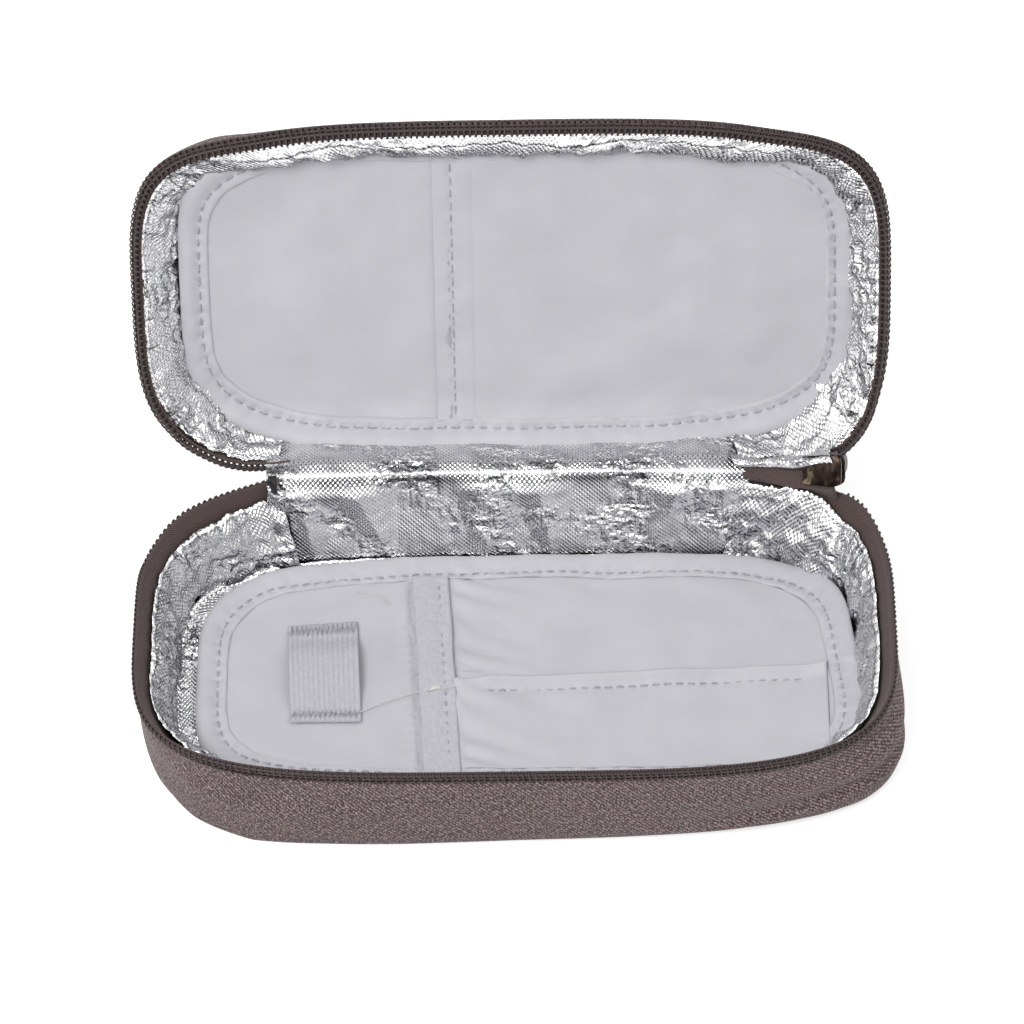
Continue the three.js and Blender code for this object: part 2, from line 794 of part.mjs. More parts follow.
// Upper pocket sheet: a flat sheet whose folded front edge steps up over the lower one
function upperSheet(plan, slab, { centreAt, mouthAt, splitY, far, inside }) {
  const startY = splitY + clearance;
  const flat = toManifold(slab).intersect(toManifold(cutPrism([
    [centreAt(startY), startY], [far, mouthAt(far) + hemOverlap + clearance], [far, far], [centreAt(far), far],
  ], floorSheet - clearance, floorSheet + sheetThickness + clearance)));
  const near = centreAt(pocketMouthLeft) + bandWidth / 2 + clearance;
  const stripAt = (from, to) => [
    [near, mouthAt(near) + from], [far, mouthAt(far) + from], [far, mouthAt(far) + to], [near, mouthAt(near) + to],
  ];
  const seatFrom = hemOverlap + hemSeat;
  const seatTo = seatFrom + hemSeat;
  const riser = toManifold(riserSlab(plan, inside))
    .intersect(toManifold(cutPrism(stripAt(seatFrom, seatTo), floorSheet, floorTrim + sheetThickness)));
  const lip = toManifold(panelSlab(plan, inside, floorTrim, sheetThickness)).intersect(toManifold(
    cutPrism(stripAt(0, seatTo), floorTrim - clearance, floorTrim + sheetThickness + clearance),
  ));
  return fromManifold(flat.add(riser).add(lip));
}

// Slab that joins a sheet to its raised hem
function riserSlab(plan, inside) {
  const half = sheetThickness / 2;
  return panelSlab(plan, inside, floorSheet + half, floorTrim - floorSheet);
}

// Ribbed elastic loop, sewn down at both ends and standing off between them
function penLoop(loopCentre) {
  const foot = floorTrim;
  const loopBack = loopLength / 2 - loopForward;
  const loopFront = loopBack - loopLength;
  const path = [
    [loopBack, foot], [loopBack - loopFoot, foot], [loopBack - loopFoot - loopRise, foot + loopGap],
    [loopFront + loopFoot + loopRise, foot + loopGap], [loopFront + loopFoot, foot], [loopFront, foot],
  ];
  const half = loopWidth / 2;
  const rings = path.map(([y, z]) => {
    const ring = [[loopCentre - half, y, z], [loopCentre + half, y, z]];
    for (let i = 2 * loopRibs; i >= 0; i--) {
      const x = loopCentre - half + loopWidth * i / (2 * loopRibs);
      const rib = i % 2 === 0 ? 0 : loopRibDepth;
      ring.push([x, y, z + loopThickness - loopRibDepth + rib]);
    }
    return ring;
  });
  return bodyFromRings(rings);
}

// Pocket panel of the lid, drawn with the lid's top down
function lidPanelPieces() {
  const plan = panelPlan(lidPadSideGap, lidPadLeftGap, lidPadRightGap);
  const dividerSeam = plan.left + dividerSeamReach;
  const dividerFold = dividerSeam - dividerFoldWidth;
  const dividerEdge = dividerSeam + dividerStripReach;
  const sheetInset = lidBindingWidth / 3;
  const inside = lidBindingWidth + clearance;
  const far = caseLength;
  const slab = panelSlab(plan, sheetInset, floorSheet, sheetThickness);
  const low = floorSheet - clearance;
  const high = floorSheet + sheetThickness + clearance;
  const stripe = (from, to, bottom, top) => cutPrism(
    [[from, -far], [to, -far], [to, far], [from, far]], bottom, top,
  );
  const left = clipped(slab, stripe(-far, dividerSeam - clearance, low, high));
  const flat = toManifold(slab).intersect(toManifold(stripe(dividerSeam, far, low, high)));
  const trimTop = floorTrim + sheetThickness;
  const hem = panelSlab(plan, inside, floorTrim, sheetThickness);
  const foldTo = dividerSeam + sheetThickness;
  const lip = toManifold(hem)
    .intersect(toManifold(stripe(dividerFold, foldTo, floorTrim - clearance, trimTop + clearance)));
  const riser = toManifold(riserSlab(plan, inside))
    .intersect(toManifold(stripe(dividerSeam, foldTo, floorSheet, trimTop)));
  const strip = clipped(hem, stripe(foldTo + clearance, dividerEdge, floorTrim - clearance, trimTop + clearance));
  return {
    backing: panelSlab(plan, clearance, floorBacking, backingThickness),
    binding: borderFrame(plan, lidBindingWidth, floorTrim, bindingThickness),
    left, right: fromManifold(flat.add(riser).add(lip)), strip,
  };
}

// Left zip stop: a clamp round the tape's end
function leftStop() {
  const section = [
    [-stopOverlap, -stopReach], [-stopOverlap, stopReach],
    [tapeInner + stopOverlap, stopReach], [tapeInner + stopOverlap, -stopReach],
  ];
  const hingeSide = hingeLeft - clearance;
  const tapeSide = rearTurn(zipLeftEnd + clearance);
  return bodyFromRings([
    section.map(([inset, z]) => [hingeSide, rimY(hingeSide) - inset, baseHeight + z]),
    section.map(([inset, z]) => [...planPoint(tapeSide, inset), baseHeight + z]),
  ]);
}

const caseGroup = new THREE.Group();

// The lid is drawn shut on the base, and its group turns it open about the hinge
const lidHinge = new THREE.Group();
lidHinge.position.set(0, hingeY, baseHeight);
lidHinge.rotation.x = -lidOpenAngle;
const lidGroup = new THREE.Group();
lidGroup.position.set(0, -hingeY, -baseHeight);
lidHinge.add(lidGroup);
caseGroup.add(lidHinge);

// A piece drawn floor down, turned over so that its rim meets the base's rim
function overturned(geometry) {
  const p = geometry.attributes.position;
  const positions = [];
  for (let i = 0; i < p.count; i++) {
    positions.push(p.getX(i), p.getY(i), baseHeight + lidHeight - p.getZ(i));
  }
  return solidGeometry(positions, [...geometry.index.array]);
}

function addPiece(group, name, look, geometry) {
  const mesh = new THREE.Mesh(geometry, new THREE.MeshStandardMaterial(colours[look]));
  mesh.name = name;
  group.add(mesh);
  return mesh;
}

const base = shellPieces(baseHeight);
addPiece(caseGroup, "base_bottom_panel", "heather", base.bottomPanel);
addPiece(caseGroup, "base_side_band", "heather", base.sideBand);
addPiece(caseGroup, "base_bottom_foam", "foam", base.bottomFoam);
addPiece(caseGroup, "base_wall_foam", "foam", base.wallFoam);
addPiece(caseGroup, "base_foil_wall", "foil", base.foilWall);
addPiece(caseGroup, "base_foil_floor", "foil", base.foilFloor);
addPiece(caseGroup, "base_zip_tape", "tape", zipTape(baseHeight));
addPiece(caseGroup, "base_zip_teeth", "coil", toothRow(0, 1));
addPiece(caseGroup, "zip_stop_left", "stop", leftStop());

const organizer = organizerPieces();
addPiece(caseGroup, "organizer_backing", "nylon", organizer.backing);
addPiece(caseGroup, "organizer_binding", "nylon", organizer.binding);
addPiece(caseGroup, "organizer_left_sheet", "nylon", organizer.left);
addPiece(caseGroup, "organizer_upper_pocket", "nylon", organizer.upper);
addPiece(caseGroup, "organizer_lower_pocket", "nylon", organizer.lower);
addPiece(caseGroup, "organizer_band", "nylon", organizer.band);
addPiece(caseGroup, "organizer_loop", "nylon", organizer.loop);

addPiece(caseGroup, "hinge_fabric", "heather", hingeSheet(0, fabricThickness, fabricTopDrop - clearance));
addPiece(caseGroup, "hinge_foil", "foil",
  hingeSheet(foilInset, foilInset + foilThickness, foilTopDrop - clearance));

const lid = shellPieces(lidHeight);
addPiece(lidGroup, "lid_top_panel", "heather", overturned(lid.bottomPanel));
addPiece(lidGroup, "lid_side_band", "heather", overturned(lid.sideBand));
addPiece(lidGroup, "lid_top_foam", "foam", overturned(lid.bottomFoam));
addPiece(lidGroup, "lid_wall_foam", "foam", overturned(lid.wallFoam));
addPiece(lidGroup, "lid_foil_wall", "foil", overturned(lid.foilWall));
addPiece(lidGroup, "lid_foil_top", "foil", overturned(lid.foilFloor));
addPiece(lidGroup, "lid_zip_tape", "tape", overturned(zipTape(lidHeight)));
addPiece(lidGroup, "lid_zip_teeth", "coil", toothRow(1 / 2, -1));

const lidPanel = lidPanelPieces();
addPiece(lidGroup, "lid_panel_backing", "nylon", overturned(lidPanel.backing));
addPiece(lidGroup, "lid_panel_binding", "nylon", overturned(lidPanel.binding));
addPiece(lidGroup, "lid_left_sheet", "nylon", overturned(lidPanel.left));
addPiece(lidGroup, "lid_right_sheet", "nylon", overturned(lidPanel.right));
addPiece(lidGroup, "lid_divider_strip", "nylon", overturned(lidPanel.strip));

// Closed stretch of the zip with its slider, drawn in place at rest
const tapeFrom = -tapeInner;
const tapeTo = -tapeInset;
addPiece(caseGroup, "zip_web_lower", "tape", tapeWeb(-1));
addPiece(caseGroup, "zip_web_upper", "tape", tapeWeb(1));
addPiece(caseGroup, "tail_tape_lower", "tape",
  atTail(chainBox(0, chainReach, tapeFrom, tapeTo, -chainTapeHalf, -chainTapeGap / 2)));
addPiece(caseGroup, "tail_tape_upper", "tape",
  atTail(chainBox(0, chainReach, tapeFrom, tapeTo, chainTapeGap / 2, chainTapeHalf)));
addPiece(caseGroup, "tail_chain", "coil", atTail(closedChain()));
addPiece(caseGroup, "zip_stop_right", "stop",
  atTail(chainBox(0, rightStopLength, -toothThickness, stopOverlap, -stopReach, stopReach)));
addPiece(caseGroup, "slider_body", "slider", atTail(sliderBody()));
addPiece(caseGroup, "pull_tab", "slider", atTail(pullTab()));

export default caseGroup;
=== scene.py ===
import json
import math

import bmesh
import bpy
import numpy as np
from mathutils import Matrix, Vector, noise


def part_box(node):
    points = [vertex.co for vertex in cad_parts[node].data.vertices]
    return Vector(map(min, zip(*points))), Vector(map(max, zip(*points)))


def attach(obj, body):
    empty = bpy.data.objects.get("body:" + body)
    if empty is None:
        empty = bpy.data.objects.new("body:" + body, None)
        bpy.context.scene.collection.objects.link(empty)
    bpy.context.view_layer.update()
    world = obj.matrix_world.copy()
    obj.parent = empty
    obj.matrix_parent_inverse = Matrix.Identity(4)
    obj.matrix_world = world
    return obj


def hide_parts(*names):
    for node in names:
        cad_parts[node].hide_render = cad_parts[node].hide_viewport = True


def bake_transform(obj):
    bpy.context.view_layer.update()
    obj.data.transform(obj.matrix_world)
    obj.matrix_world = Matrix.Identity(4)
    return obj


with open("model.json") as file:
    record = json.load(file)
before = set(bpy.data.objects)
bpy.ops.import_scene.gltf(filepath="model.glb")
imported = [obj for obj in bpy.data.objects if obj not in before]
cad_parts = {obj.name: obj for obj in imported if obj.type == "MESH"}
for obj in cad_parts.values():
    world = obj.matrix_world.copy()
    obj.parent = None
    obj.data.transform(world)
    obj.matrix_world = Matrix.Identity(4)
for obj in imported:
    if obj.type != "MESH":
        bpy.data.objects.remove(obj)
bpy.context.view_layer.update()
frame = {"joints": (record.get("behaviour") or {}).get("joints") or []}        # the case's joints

mm = 0.001
fullTurn = 2 * math.pi
hinge = next(j for j in frame["joints"] if j["name"] == "lid_hinge")

# Sizes of the shut case in millimetres, as the solids have them
case = {
    "halfLength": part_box("base_side_band")[1][0] / mm,
    "halfWidth": -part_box("base_side_band")[0][1] / mm,
    "exponent": 3.9,
    "baseHeight": hinge["pos_m"][2] / mm,
    "lidHeight": 21.0,
    "hingeY": hinge["pos_m"][1] / mm,
    "openAngle": math.radians(118),
    "tailShare": 0.38,
    "zipLeftEnd": -66.0,
    "zipRightEnd": 87.6,
    "hingeLeft": -66.2,
    "hingeRight": 62.8,
    "columns": 720,  # steps round the walls
}
camera = {
    "azimuth": 1.361,
    "elevation": 50.947,
    "roll": -1.821,
    "distance": 1402.7,
    "target": (-0.883, 50.0, 14.05),
    "focalPixels": 5197,
    "framePixels": 1024,
    "sensor": 36.0,
    "farthest": 20,
}


# Geometry helpers

def smoothStep(values, low, high):
    t = np.clip((np.asarray(values, float) - low) / (high - low), 0, 1)
    return t * t * (3 - 2 * t)


def bell(values, centre, width):
    return np.exp(-(((values - centre) / width) ** 2))


def joined(x, y, z):
    return np.stack(np.broadcast_arrays(x, y, z), -1).astype(float)


def same(points):
    return points


def planPoints(turns, inset, plan=case):
    # superellipse; a plan may have another exponent for each corner and a right side that slants
    c = np.cos(turns)
    s = np.sin(turns)
    if "corners" in plan:
        backRight, backLeft, frontLeft, frontRight = plan["corners"]
        power = 2 / np.where(s > 0, np.where(c > 0, backRight, backLeft), np.where(c > 0, frontRight, frontLeft))
    else:
        power = 2 / plan["exponent"]
    x = (plan["halfLength"] - inset) * np.sign(c) * np.abs(c) ** power
    y = (plan["halfWidth"] - inset) * np.sign(s) * np.abs(s) ** power
    x = x - plan.get("skew", 0) * (y + 10) * smoothStep(x, 30, 85)
    return x + plan.get("centreX", 0), y + plan.get("centreY", 0)


def ringAt(turns, inset, z):
    x, y = planPoints(turns, inset)
    return joined(x, y, z)


def rearTurn(x):
    # turn of the rim point at x on the hinge side
    return np.arccos(np.copysign((np.abs(x) / case["halfLength"]) ** (case["exponent"] / 2), x))


def evenTurns(start, end, count, plan=case):
    # turns that stand evenly apart along the outline, and the length they cover
    fine = np.linspace(start, end, 20001)
    x, y = planPoints(fine, 0, plan)
    lengths = np.concatenate([[0], np.cumsum(np.hypot(np.diff(x), np.diff(y)))])
    return np.interp(np.linspace(0, lengths[-1], count), lengths, fine), lengths[-1]


def ringTurns(count, start=math.pi / 2, plan=case):
    # even turns once round, their distance along the ring and its length
    turns, length = evenTurns(start, start + fullTurn, count + 1, plan)
    return turns[:-1], np.linspace(0, length, count, endpoint=False), length


def openLid(points, share=1.0):
    # shut-case millimetres turned open about the hinge
    angle = case["openAngle"] * share
    dy = points[..., 1] - case["hingeY"]
    dz = points[..., 2] - case["baseHeight"]
    y = case["hingeY"] + dy * np.cos(angle) + dz * np.sin(angle)
    z = case["baseHeight"] - dy * np.sin(angle) + dz * np.cos(angle)
    return joined(points[..., 0], y, z)


def overLid(points):
    # lid pieces are drawn floor down; this turns them over onto the base and opens them
    top = case["baseHeight"] + case["lidHeight"]
    return openLid(joined(points[..., 0], points[..., 1], top - points[..., 2]))


def upOf(place):
    # direction that up in a drawing has once it is placed
    return place(np.array([[0, 0, 6.0]]))[0] - place(np.array([[0, 0, 5.0]]))[0]


def bowed(first, corner, last, t, weight):
    # place at t on the way from first to last, drawn towards a corner
    a, b, c = (1 - t) ** 2, 2 * t * (1 - t) * weight, t ** 2
    return (a * first + b * corner + c * last) / (a + b + c)


def resampled(points, count, rounds):
    # evenly more rows between the given ones, their corners then eased in a few rounds
    points = np.array(points, float)
    places = np.linspace(0, len(points) - 1, count)
    low = np.minimum(places.astype(int), len(points) - 2)
    share = (places - low).reshape(-1, *[1] * (points.ndim - 1))
    rows = points[low] * (1 - share) + points[low + 1] * share
    for step in range(rounds):
        rows[1:-1] = 0.5 * rows[1:-1] + 0.25 * (rows[:-2] + rows[2:])
    return rows


def voronoi(points):
    near = [noise.voronoi(Vector(p), distance_metric="MANHATTAN")[0][0] for p in points.reshape(-1, 3)]
    return np.array(near).reshape(points.shape[:-1])


def smoothNoise(points):
    return np.array([noise.noise(Vector(p)) for p in points.reshape(-1, 3)]).reshape(points.shape[:-1])


def unit(vectors):
    return vectors / np.maximum(np.linalg.norm(vectors, axis=-1, keepdims=True), 1e-9)


def gridNormals(grid, closed):
    along = np.roll(grid, -1, 1) - np.roll(grid, 1, 1) if closed else np.gradient(grid, axis=1)
    return unit(np.cross(along, np.gradient(grid, axis=0)))


def meshObject(name, points, faces, uvs=None):
    mesh = bpy.data.meshes.new(name)
    mesh.from_pydata((np.asarray(points).reshape(-1, 3) * mm).tolist(), [], faces)
    if uvs is not None:
        layer = mesh.uv_layers.new(name="surface")
        layer.data.foreach_set("uv", (np.asarray(uvs, np.float32).reshape(-1) * mm).astype(np.float32))
    mesh.polygons.foreach_set("use_smooth", [True] * len(mesh.polygons))
    mesh.update()
    piece = bpy.data.objects.new(name, mesh)
    bpy.context.scene.collection.objects.link(piece)
    return piece


def gridQuads(rows, columns, width, closed):
    # corner numbers of a grid's faces; width is the count of points in each row
    last = columns if closed else columns - 1
    i, j = np.meshgrid(np.arange(rows - 1), np.arange(last), indexing="ij")
    k = (j + 1) % width
    return np.stack([i * width + j, i * width + k, (i + 1) * width + k, (i + 1) * width + j], -1).reshape(-1, 4)


def surfaceUv(grid, closed):
    # lengths along and across the grid, so that a weave keeps its size
    wide = np.concatenate([grid, grid[:, :1]], 1) if closed else grid
    u = np.zeros(wide.shape[:2])
    u[:, 1:] = np.cumsum(np.linalg.norm(np.diff(wide, axis=1), axis=-1), 1)
    v = np.zeros(wide.shape[:2])
    v[1:] = np.cumsum(np.linalg.norm(np.diff(wide, axis=0), axis=-1), 0)
    return joined(u.mean(0), v.mean(1)[:, None], 0)[..., :2]


def activate(piece):
    bpy.ops.object.select_all(action="DESELECT")
    bpy.context.view_layer.objects.active = piece
    piece.select_set(True)


def applyModifier(piece, kind, **settings):
    activate(piece)
    modifier = piece.modifiers.new(kind.lower(), kind)
    for key, value in settings.items():
        setattr(modifier, key, value)
    bpy.ops.object.modifier_apply(modifier=modifier.name)


def faceOut(piece):
    # turns a closed mesh the right way out if it has come out inside out
    work = bmesh.new()
    work.from_mesh(piece.data)
    if work.calc_volume(signed=True) < 0:
        bmesh.ops.reverse_faces(work, faces=work.faces)
        work.to_mesh(piece.data)
    work.free()
    return piece


def clothSheet(name, grid, thickness, place=same, facing=None, closed=False, uv=None, shine=None, capped=False):
    # thin sheet from a grid of points, its thickness laid behind the face that is seen;
    # the foil's point values paint highlights on its ridges (above 0) and shade in its creases (below 0); a cap closes
    # the last ring
    facing = upOf(place) if facing is None else facing
    grid = place(np.array(grid))
    rows, columns = grid.shape[:2]
    uv = surfaceUv(grid, closed) if uv is None else uv
    faces = gridQuads(rows, columns, columns, closed).tolist()
    corners = uv.reshape(-1, 2)[gridQuads(rows, columns, uv.shape[1], closed)].reshape(-1, 2)
    if capped:
        faces.append(list(range((rows - 1) * columns, rows * columns)))
        corners = np.concatenate([corners, uv[-1, :columns]])
    piece = meshObject(name, grid, faces, corners)
    if (gridNormals(grid, closed) * facing).sum(-1).mean() < 0:
        piece.data.flip_normals()
    if shine is not None:
        layer = piece.data.attributes.new("shine", "FLOAT", "POINT")
        layer.data.foreach_set("value", np.asarray(shine, np.float32).ravel())
    applyModifier(piece, "SOLIDIFY", thickness=thickness * mm, offset=-1)
    return faceOut(piece)


def tubes(name, paths, radius, sides, sideways):
    # round threads along paths of points; sideways gives the direction across each path
    points = []
    faces = []
    angles = (np.arange(sides) * fullTurn / sides)[None, :, None]
    for path, across, width in zip(paths, sideways, np.broadcast_to(radius, len(paths))):
        tangent = unit(np.gradient(path, axis=0))
        first = unit(across - (across * tangent).sum(1, keepdims=True) * tangent)
        second = np.cross(tangent, first)
        offset = len(points) * sides
        points.extend(path[:, None] + width * (np.cos(angles) * first[:, None] + np.sin(angles) * second[:, None]))
        faces.extend((gridQuads(len(path), sides, sides, True) + offset).tolist())
        end = offset + (len(path) - 1) * sides
        faces.append(list(range(offset + sides - 1, offset - 1, -1)))
        faces.append(list(range(end, end + sides)))
    return faceOut(meshObject(name, np.array(points), faces))


# Materials

def linear(hexColour):
    # sRGB hex to the linear colour that a socket takes
    channels = [int(hexColour[i:i + 2], 16) / 255 for i in (1, 3, 5)]
    return (*[c / 12.92 if c <= 0.04045 else ((c + 0.055) / 1.055) ** 2.4 for c in channels], 1)


def addNode(tree, kind, settings=None, links=None):
    # settings name properties, input sockets or a ramp's stops from first to last;
    # links name the inputs that a socket, or a node's first output, feeds
    node = tree.nodes.new("ShaderNode" + kind)
    for key, value in (settings or {}).items():
        if key == "stops":
            ramp = node.color_ramp.elements
            for stop, (place, colour) in ((ramp[0], value[0]), (ramp[1], value[-1])):
                stop.position, stop.color = place, linear(colour)
            for place, colour in value[1:-1]:
                ramp.new(place).color = linear(colour)
        elif isinstance(key, str) and hasattr(node, key):
            setattr(node, key, value)
        else:
            node.inputs[key].default_value = value
    for key, source in (links or {}).items():
        tree.links.new(source if isinstance(source, bpy.types.NodeSocket) else source.outputs[0], node.inputs[key])
    return node


def newMaterial(name, ownUv=True):
    # an empty material, its tree and a link to the coordinates that its textures use
    material = bpy.data.materials.new(name)
    material.use_nodes = True
    tree = material.node_tree
    tree.nodes.clear()
    if ownUv:
        return material, tree, {"Vector": addNode(tree, "UVMap", {"uv_map": "surface"}).outputs[0]}
    return material, tree, {"Vector": addNode(tree, "TexCoord").outputs["Object"]}


def shaded(material, constants, links):
    # ends a material with a principled shader
    shader = addNode(material.node_tree, "BsdfPrincipled", constants, links)
    addNode(material.node_tree, "OutputMaterial", links={"Surface": shader})
    return material


def heatherTwill():
    # melange polyester woven in a twill: each yarn has its own mix of pale and dark fibres,
    # so the eye sees warm grey-brown flecks in slanting rows and no gloss
    yarn = 0.42 * mm  # real yarns stand 0.3 mm apart; drawn coarser so that they show
    row = 1.35 * mm
    material, tree, surface = newMaterial("melange_polyester_twill")
    weftWay = addNode(tree, "Mapping", {"Scale": (0.35 / yarn, 1 / yarn, 1)}, surface)
    warpWay = addNode(tree, "Mapping", {"Scale": (1 / yarn, 0.35 / yarn, 1)}, surface)
    weft = addNode(tree, "TexNoise", {"Scale": 1.0, "Detail": 2.0}, {"Vector": weftWay})
    warp = addNode(tree, "TexNoise", {"Scale": 1.0, "Detail": 2.0}, {"Vector": warpWay})
    rows = addNode(tree, "TexWave", {"bands_direction": "DIAGONAL", "Scale": 0.2 * math.pi / row, "Distortion": 1.2,
                                     "Detail": 1.0, "Detail Scale": 1.5}, surface).outputs["Fac"]
    tone = addNode(tree, "Mix", links={"Factor": rows, "A": weft, "B": warp})
    slanted = addNode(tree, "Math", {"operation": "MULTIPLY_ADD", 1: 0.12}, {0: rows, 2: tone})
    yarns = addNode(tree, "ValToRGB", {"stops": ((0.36, "#231a1c"), (0.54, "#554749"), (0.72, "#b59e9d"))},
                    {0: slanted})
    patch = addNode(tree, "TexNoise", {"Scale": 60.0, "Detail": 3.0}, surface)
    patchShade = addNode(tree, "MapRange", {"To Min": 0.84, "To Max": 1.14}, {"Value": patch})
    shade = addNode(tree, "VectorMath", {"operation": "SCALE"}, {0: yarns, "Scale": patchShade})
    relief = addNode(tree, "Bump", {"Strength": 0.6, "Distance": 0.25 * mm}, {"Height": slanted})
    return shaded(material, {"Roughness": 0.92, "Sheen Weight": 0.12, "Sheen Roughness": 0.5},
                  {"Base Color": shade, "Normal": relief})


def tapeTwill():
    # dense polyester zip tape, woven in a herringbone: dark warm brown with fine slanting ribs
    rib = 0.85 * mm
    bone = 2.2 * mm
    material, tree, surface = newMaterial("woven_polyester_tape")
    ways = addNode(tree, "SeparateXYZ", links={0: surface["Vector"]})
    turning = addNode(tree, "Math", {"operation": "PINGPONG", 1: bone}, {0: ways.outputs[1]})
    slant = addNode(tree, "Math", {"operation": "MULTIPLY_ADD", 1: 1.2}, {0: turning, 2: ways})
    ribs = addNode(tree, "Math", {"operation": "PINGPONG", 1: rib / 2}, {0: slant})
    tone = addNode(tree, "MapRange", {"From Max": rib / 2}, {"Value": ribs})
    colour = addNode(tree, "ValToRGB", {"stops": ((0, "#3a2e2d"), (1, "#6d5b58"))}, {0: tone})
    relief = addNode(tree, "Bump", {"Strength": 0.6, "Distance": 0.15 * mm}, {"Height": tone})
    return shaded(material, {"Roughness": 0.8, "Sheen Weight": 0.1}, {"Base Color": colour, "Normal": relief})


def coilNylon():
    # drawn nylon monofilament, heat set: near black brown with a soft shine along each turn
    material, tree, place = newMaterial("drawn_nylon_monofilament", ownUv=False)
    tint = addNode(tree, "TexNoise", {"Scale": 160.0, "Detail": 1.0}, place)
    colour = addNode(tree, "ValToRGB", {"stops": ((0, "#2a2121"), (1, "#463838"))}, {0: tint})
    return shaded(material, {"Roughness": 0.42, "IOR": 1.53}, {"Base Color": colour})


def sewingThread(name, dark, light):
    # spun polyester sewing thread: two plies twisted, matt with a slight sheen
    twist = 0.9 / mm
    material, tree, place = newMaterial(name, ownUv=False)
    ply = addNode(tree, "TexNoise", {"Scale": twist, "Detail": 2.0}, place)
    colour = addNode(tree, "ValToRGB", {"stops": ((0.35, dark), (0.65, light))}, {0: ply})
    relief = addNode(tree, "Bump", {"Strength": 0.4, "Distance": 0.08 * mm}, {"Height": ply})
    return shaded(material, {"Roughness": 0.7}, {"Base Color": colour, "Normal": relief})


def foilFilm():
    # aluminised polyester film embossed with a diamond net and crumpled by sewing. Its colour is painted
    # reflection: each facet gets a grey from dark to white by the way its bumped surface points, so white facets
    # stand beside dark ones and the net shows as rows of dots, since the studio round the case is all white.
    net = 0.95 * mm
    facet = 4.2 * mm
    crease = 1.7 * mm
    material, tree, surface = newMaterial("embossed_aluminised_film")
    turned = addNode(tree, "Mapping", {"Rotation": (0, 0, math.radians(45))}, surface)
    pillows = addNode(tree, "TexVoronoi", {"Scale": 1 / net, "Randomness": 0.0}, {"Vector": turned})
    crush = addNode(tree, "TexVoronoi", {"distance": "MANHATTAN", "Scale": 1 / facet}, surface)
    fine = addNode(tree, "TexVoronoi", {"distance": "MANHATTAN", "Scale": 1 / crease}, surface)
    folds = addNode(tree, "Math", {"operation": "MULTIPLY_ADD", 1: 0.4}, {0: fine, 2: crush})
    wear = addNode(tree, "TexNoise", {"Scale": 55.0, "Detail": 1.0}, surface)
    crushed = addNode(tree, "MapRange", {"From Min": 0.45, "From Max": 0.6}, {"Value": wear})
    pressed = addNode(tree, "MapRange", {"From Min": 0.4, "From Max": 0.55, "To Min": 1.0, "To Max": 0.35},
                      {"Value": wear})
    foldBump = addNode(tree, "Bump", {"Distance": 1.1 * mm}, {"Height": folds, "Strength": crushed})
    netBump = addNode(tree, "Bump", {"Distance": 0.32 * mm, "invert": True},
                      {"Height": pillows, "Normal": foldBump, "Strength": pressed})
    # painted reflection: a noise read over the bumped normal picks each facet's grey on the ramp below
    paintedReflection = addNode(tree, "TexNoise", {"Scale": 2.3, "Detail": 1.0}, {"Vector": netBump})
    # painted highlights on ridges and painted shade in creases, carried by the sheets' point attribute, are added to
    # that grey
    paintedLightMarks = addNode(tree, "Attribute", {"attribute_name": "shine"})
    paintedTones = addNode(tree, "Math", {"operation": "MULTIPLY_ADD", 1: 0.4}, {0: paintedLightMarks.outputs["Fac"], 2: paintedReflection})
    stops = ((0.3, "#3b3b3e"), (0.41, "#9b9b9e"), (0.51, "#c0c0c3"), (0.61, "#fdfdfd"))
    colour = addNode(tree, "ValToRGB", {"stops": stops}, {0: paintedTones})
    return shaded(material, {"Roughness": 0.24, "Metallic": 1.0}, {"Base Color": colour, "Normal": netBump})


def liningNylon():
    # calendered nylon taffeta: pale lilac grey, a soft satin glow over broad folds, very fine weave
    thread = 0.5 * mm  # real threads stand 0.15 mm apart; drawn coarser
    material, tree, surface = newMaterial("calendered_nylon_taffeta")
    weave = addNode(tree, "TexVoronoi", {"Scale": 1 / thread, "Randomness": 0.0}, surface)
    relief = addNode(tree, "Bump", {"Strength": 0.12, "Distance": 0.08 * mm}, {"Height": weave})
    cloud = addNode(tree, "TexNoise", {"Scale": 70.0, "Detail": 3.0}, surface)
    colour = addNode(tree, "ValToRGB", {"stops": ((0.3, "#c9c8ce"), (0.7, "#d0cfd5"))}, {0: cloud})
    return shaded(material, {"Roughness": 0.5, "Sheen Weight": 0.15, "Specular IOR Level": 0.35},
                  {"Base Color": colour, "Normal": relief})


def ribbedElastic():
    # woven elastic webbing: covered rubber cords under pale yarn, matt with fine cross threads
    pick = 0.45 * mm
    material, tree, surface = newMaterial("woven_ribbed_elastic")
    picks = addNode(tree, "TexWave", {"bands_direction": "Y", "Scale": 0.2 * math.pi / pick, "Distortion": 0.4},
                    surface)
    relief = addNode(tree, "Bump", {"Strength": 0.3, "Distance": 0.08 * mm}, {"Height": picks.outputs["Fac"]})
    fuzz = addNode(tree, "TexNoise", {"Scale": 900.0, "Detail": 2.0}, surface)
    colour = addNode(tree, "ValToRGB", {"stops": ((0, "#b8b7be"), (1, "#d6d5db"))}, {0: fuzz})
    return shaded(material, {"Roughness": 0.8}, {"Base Color": colour, "Normal": relief})


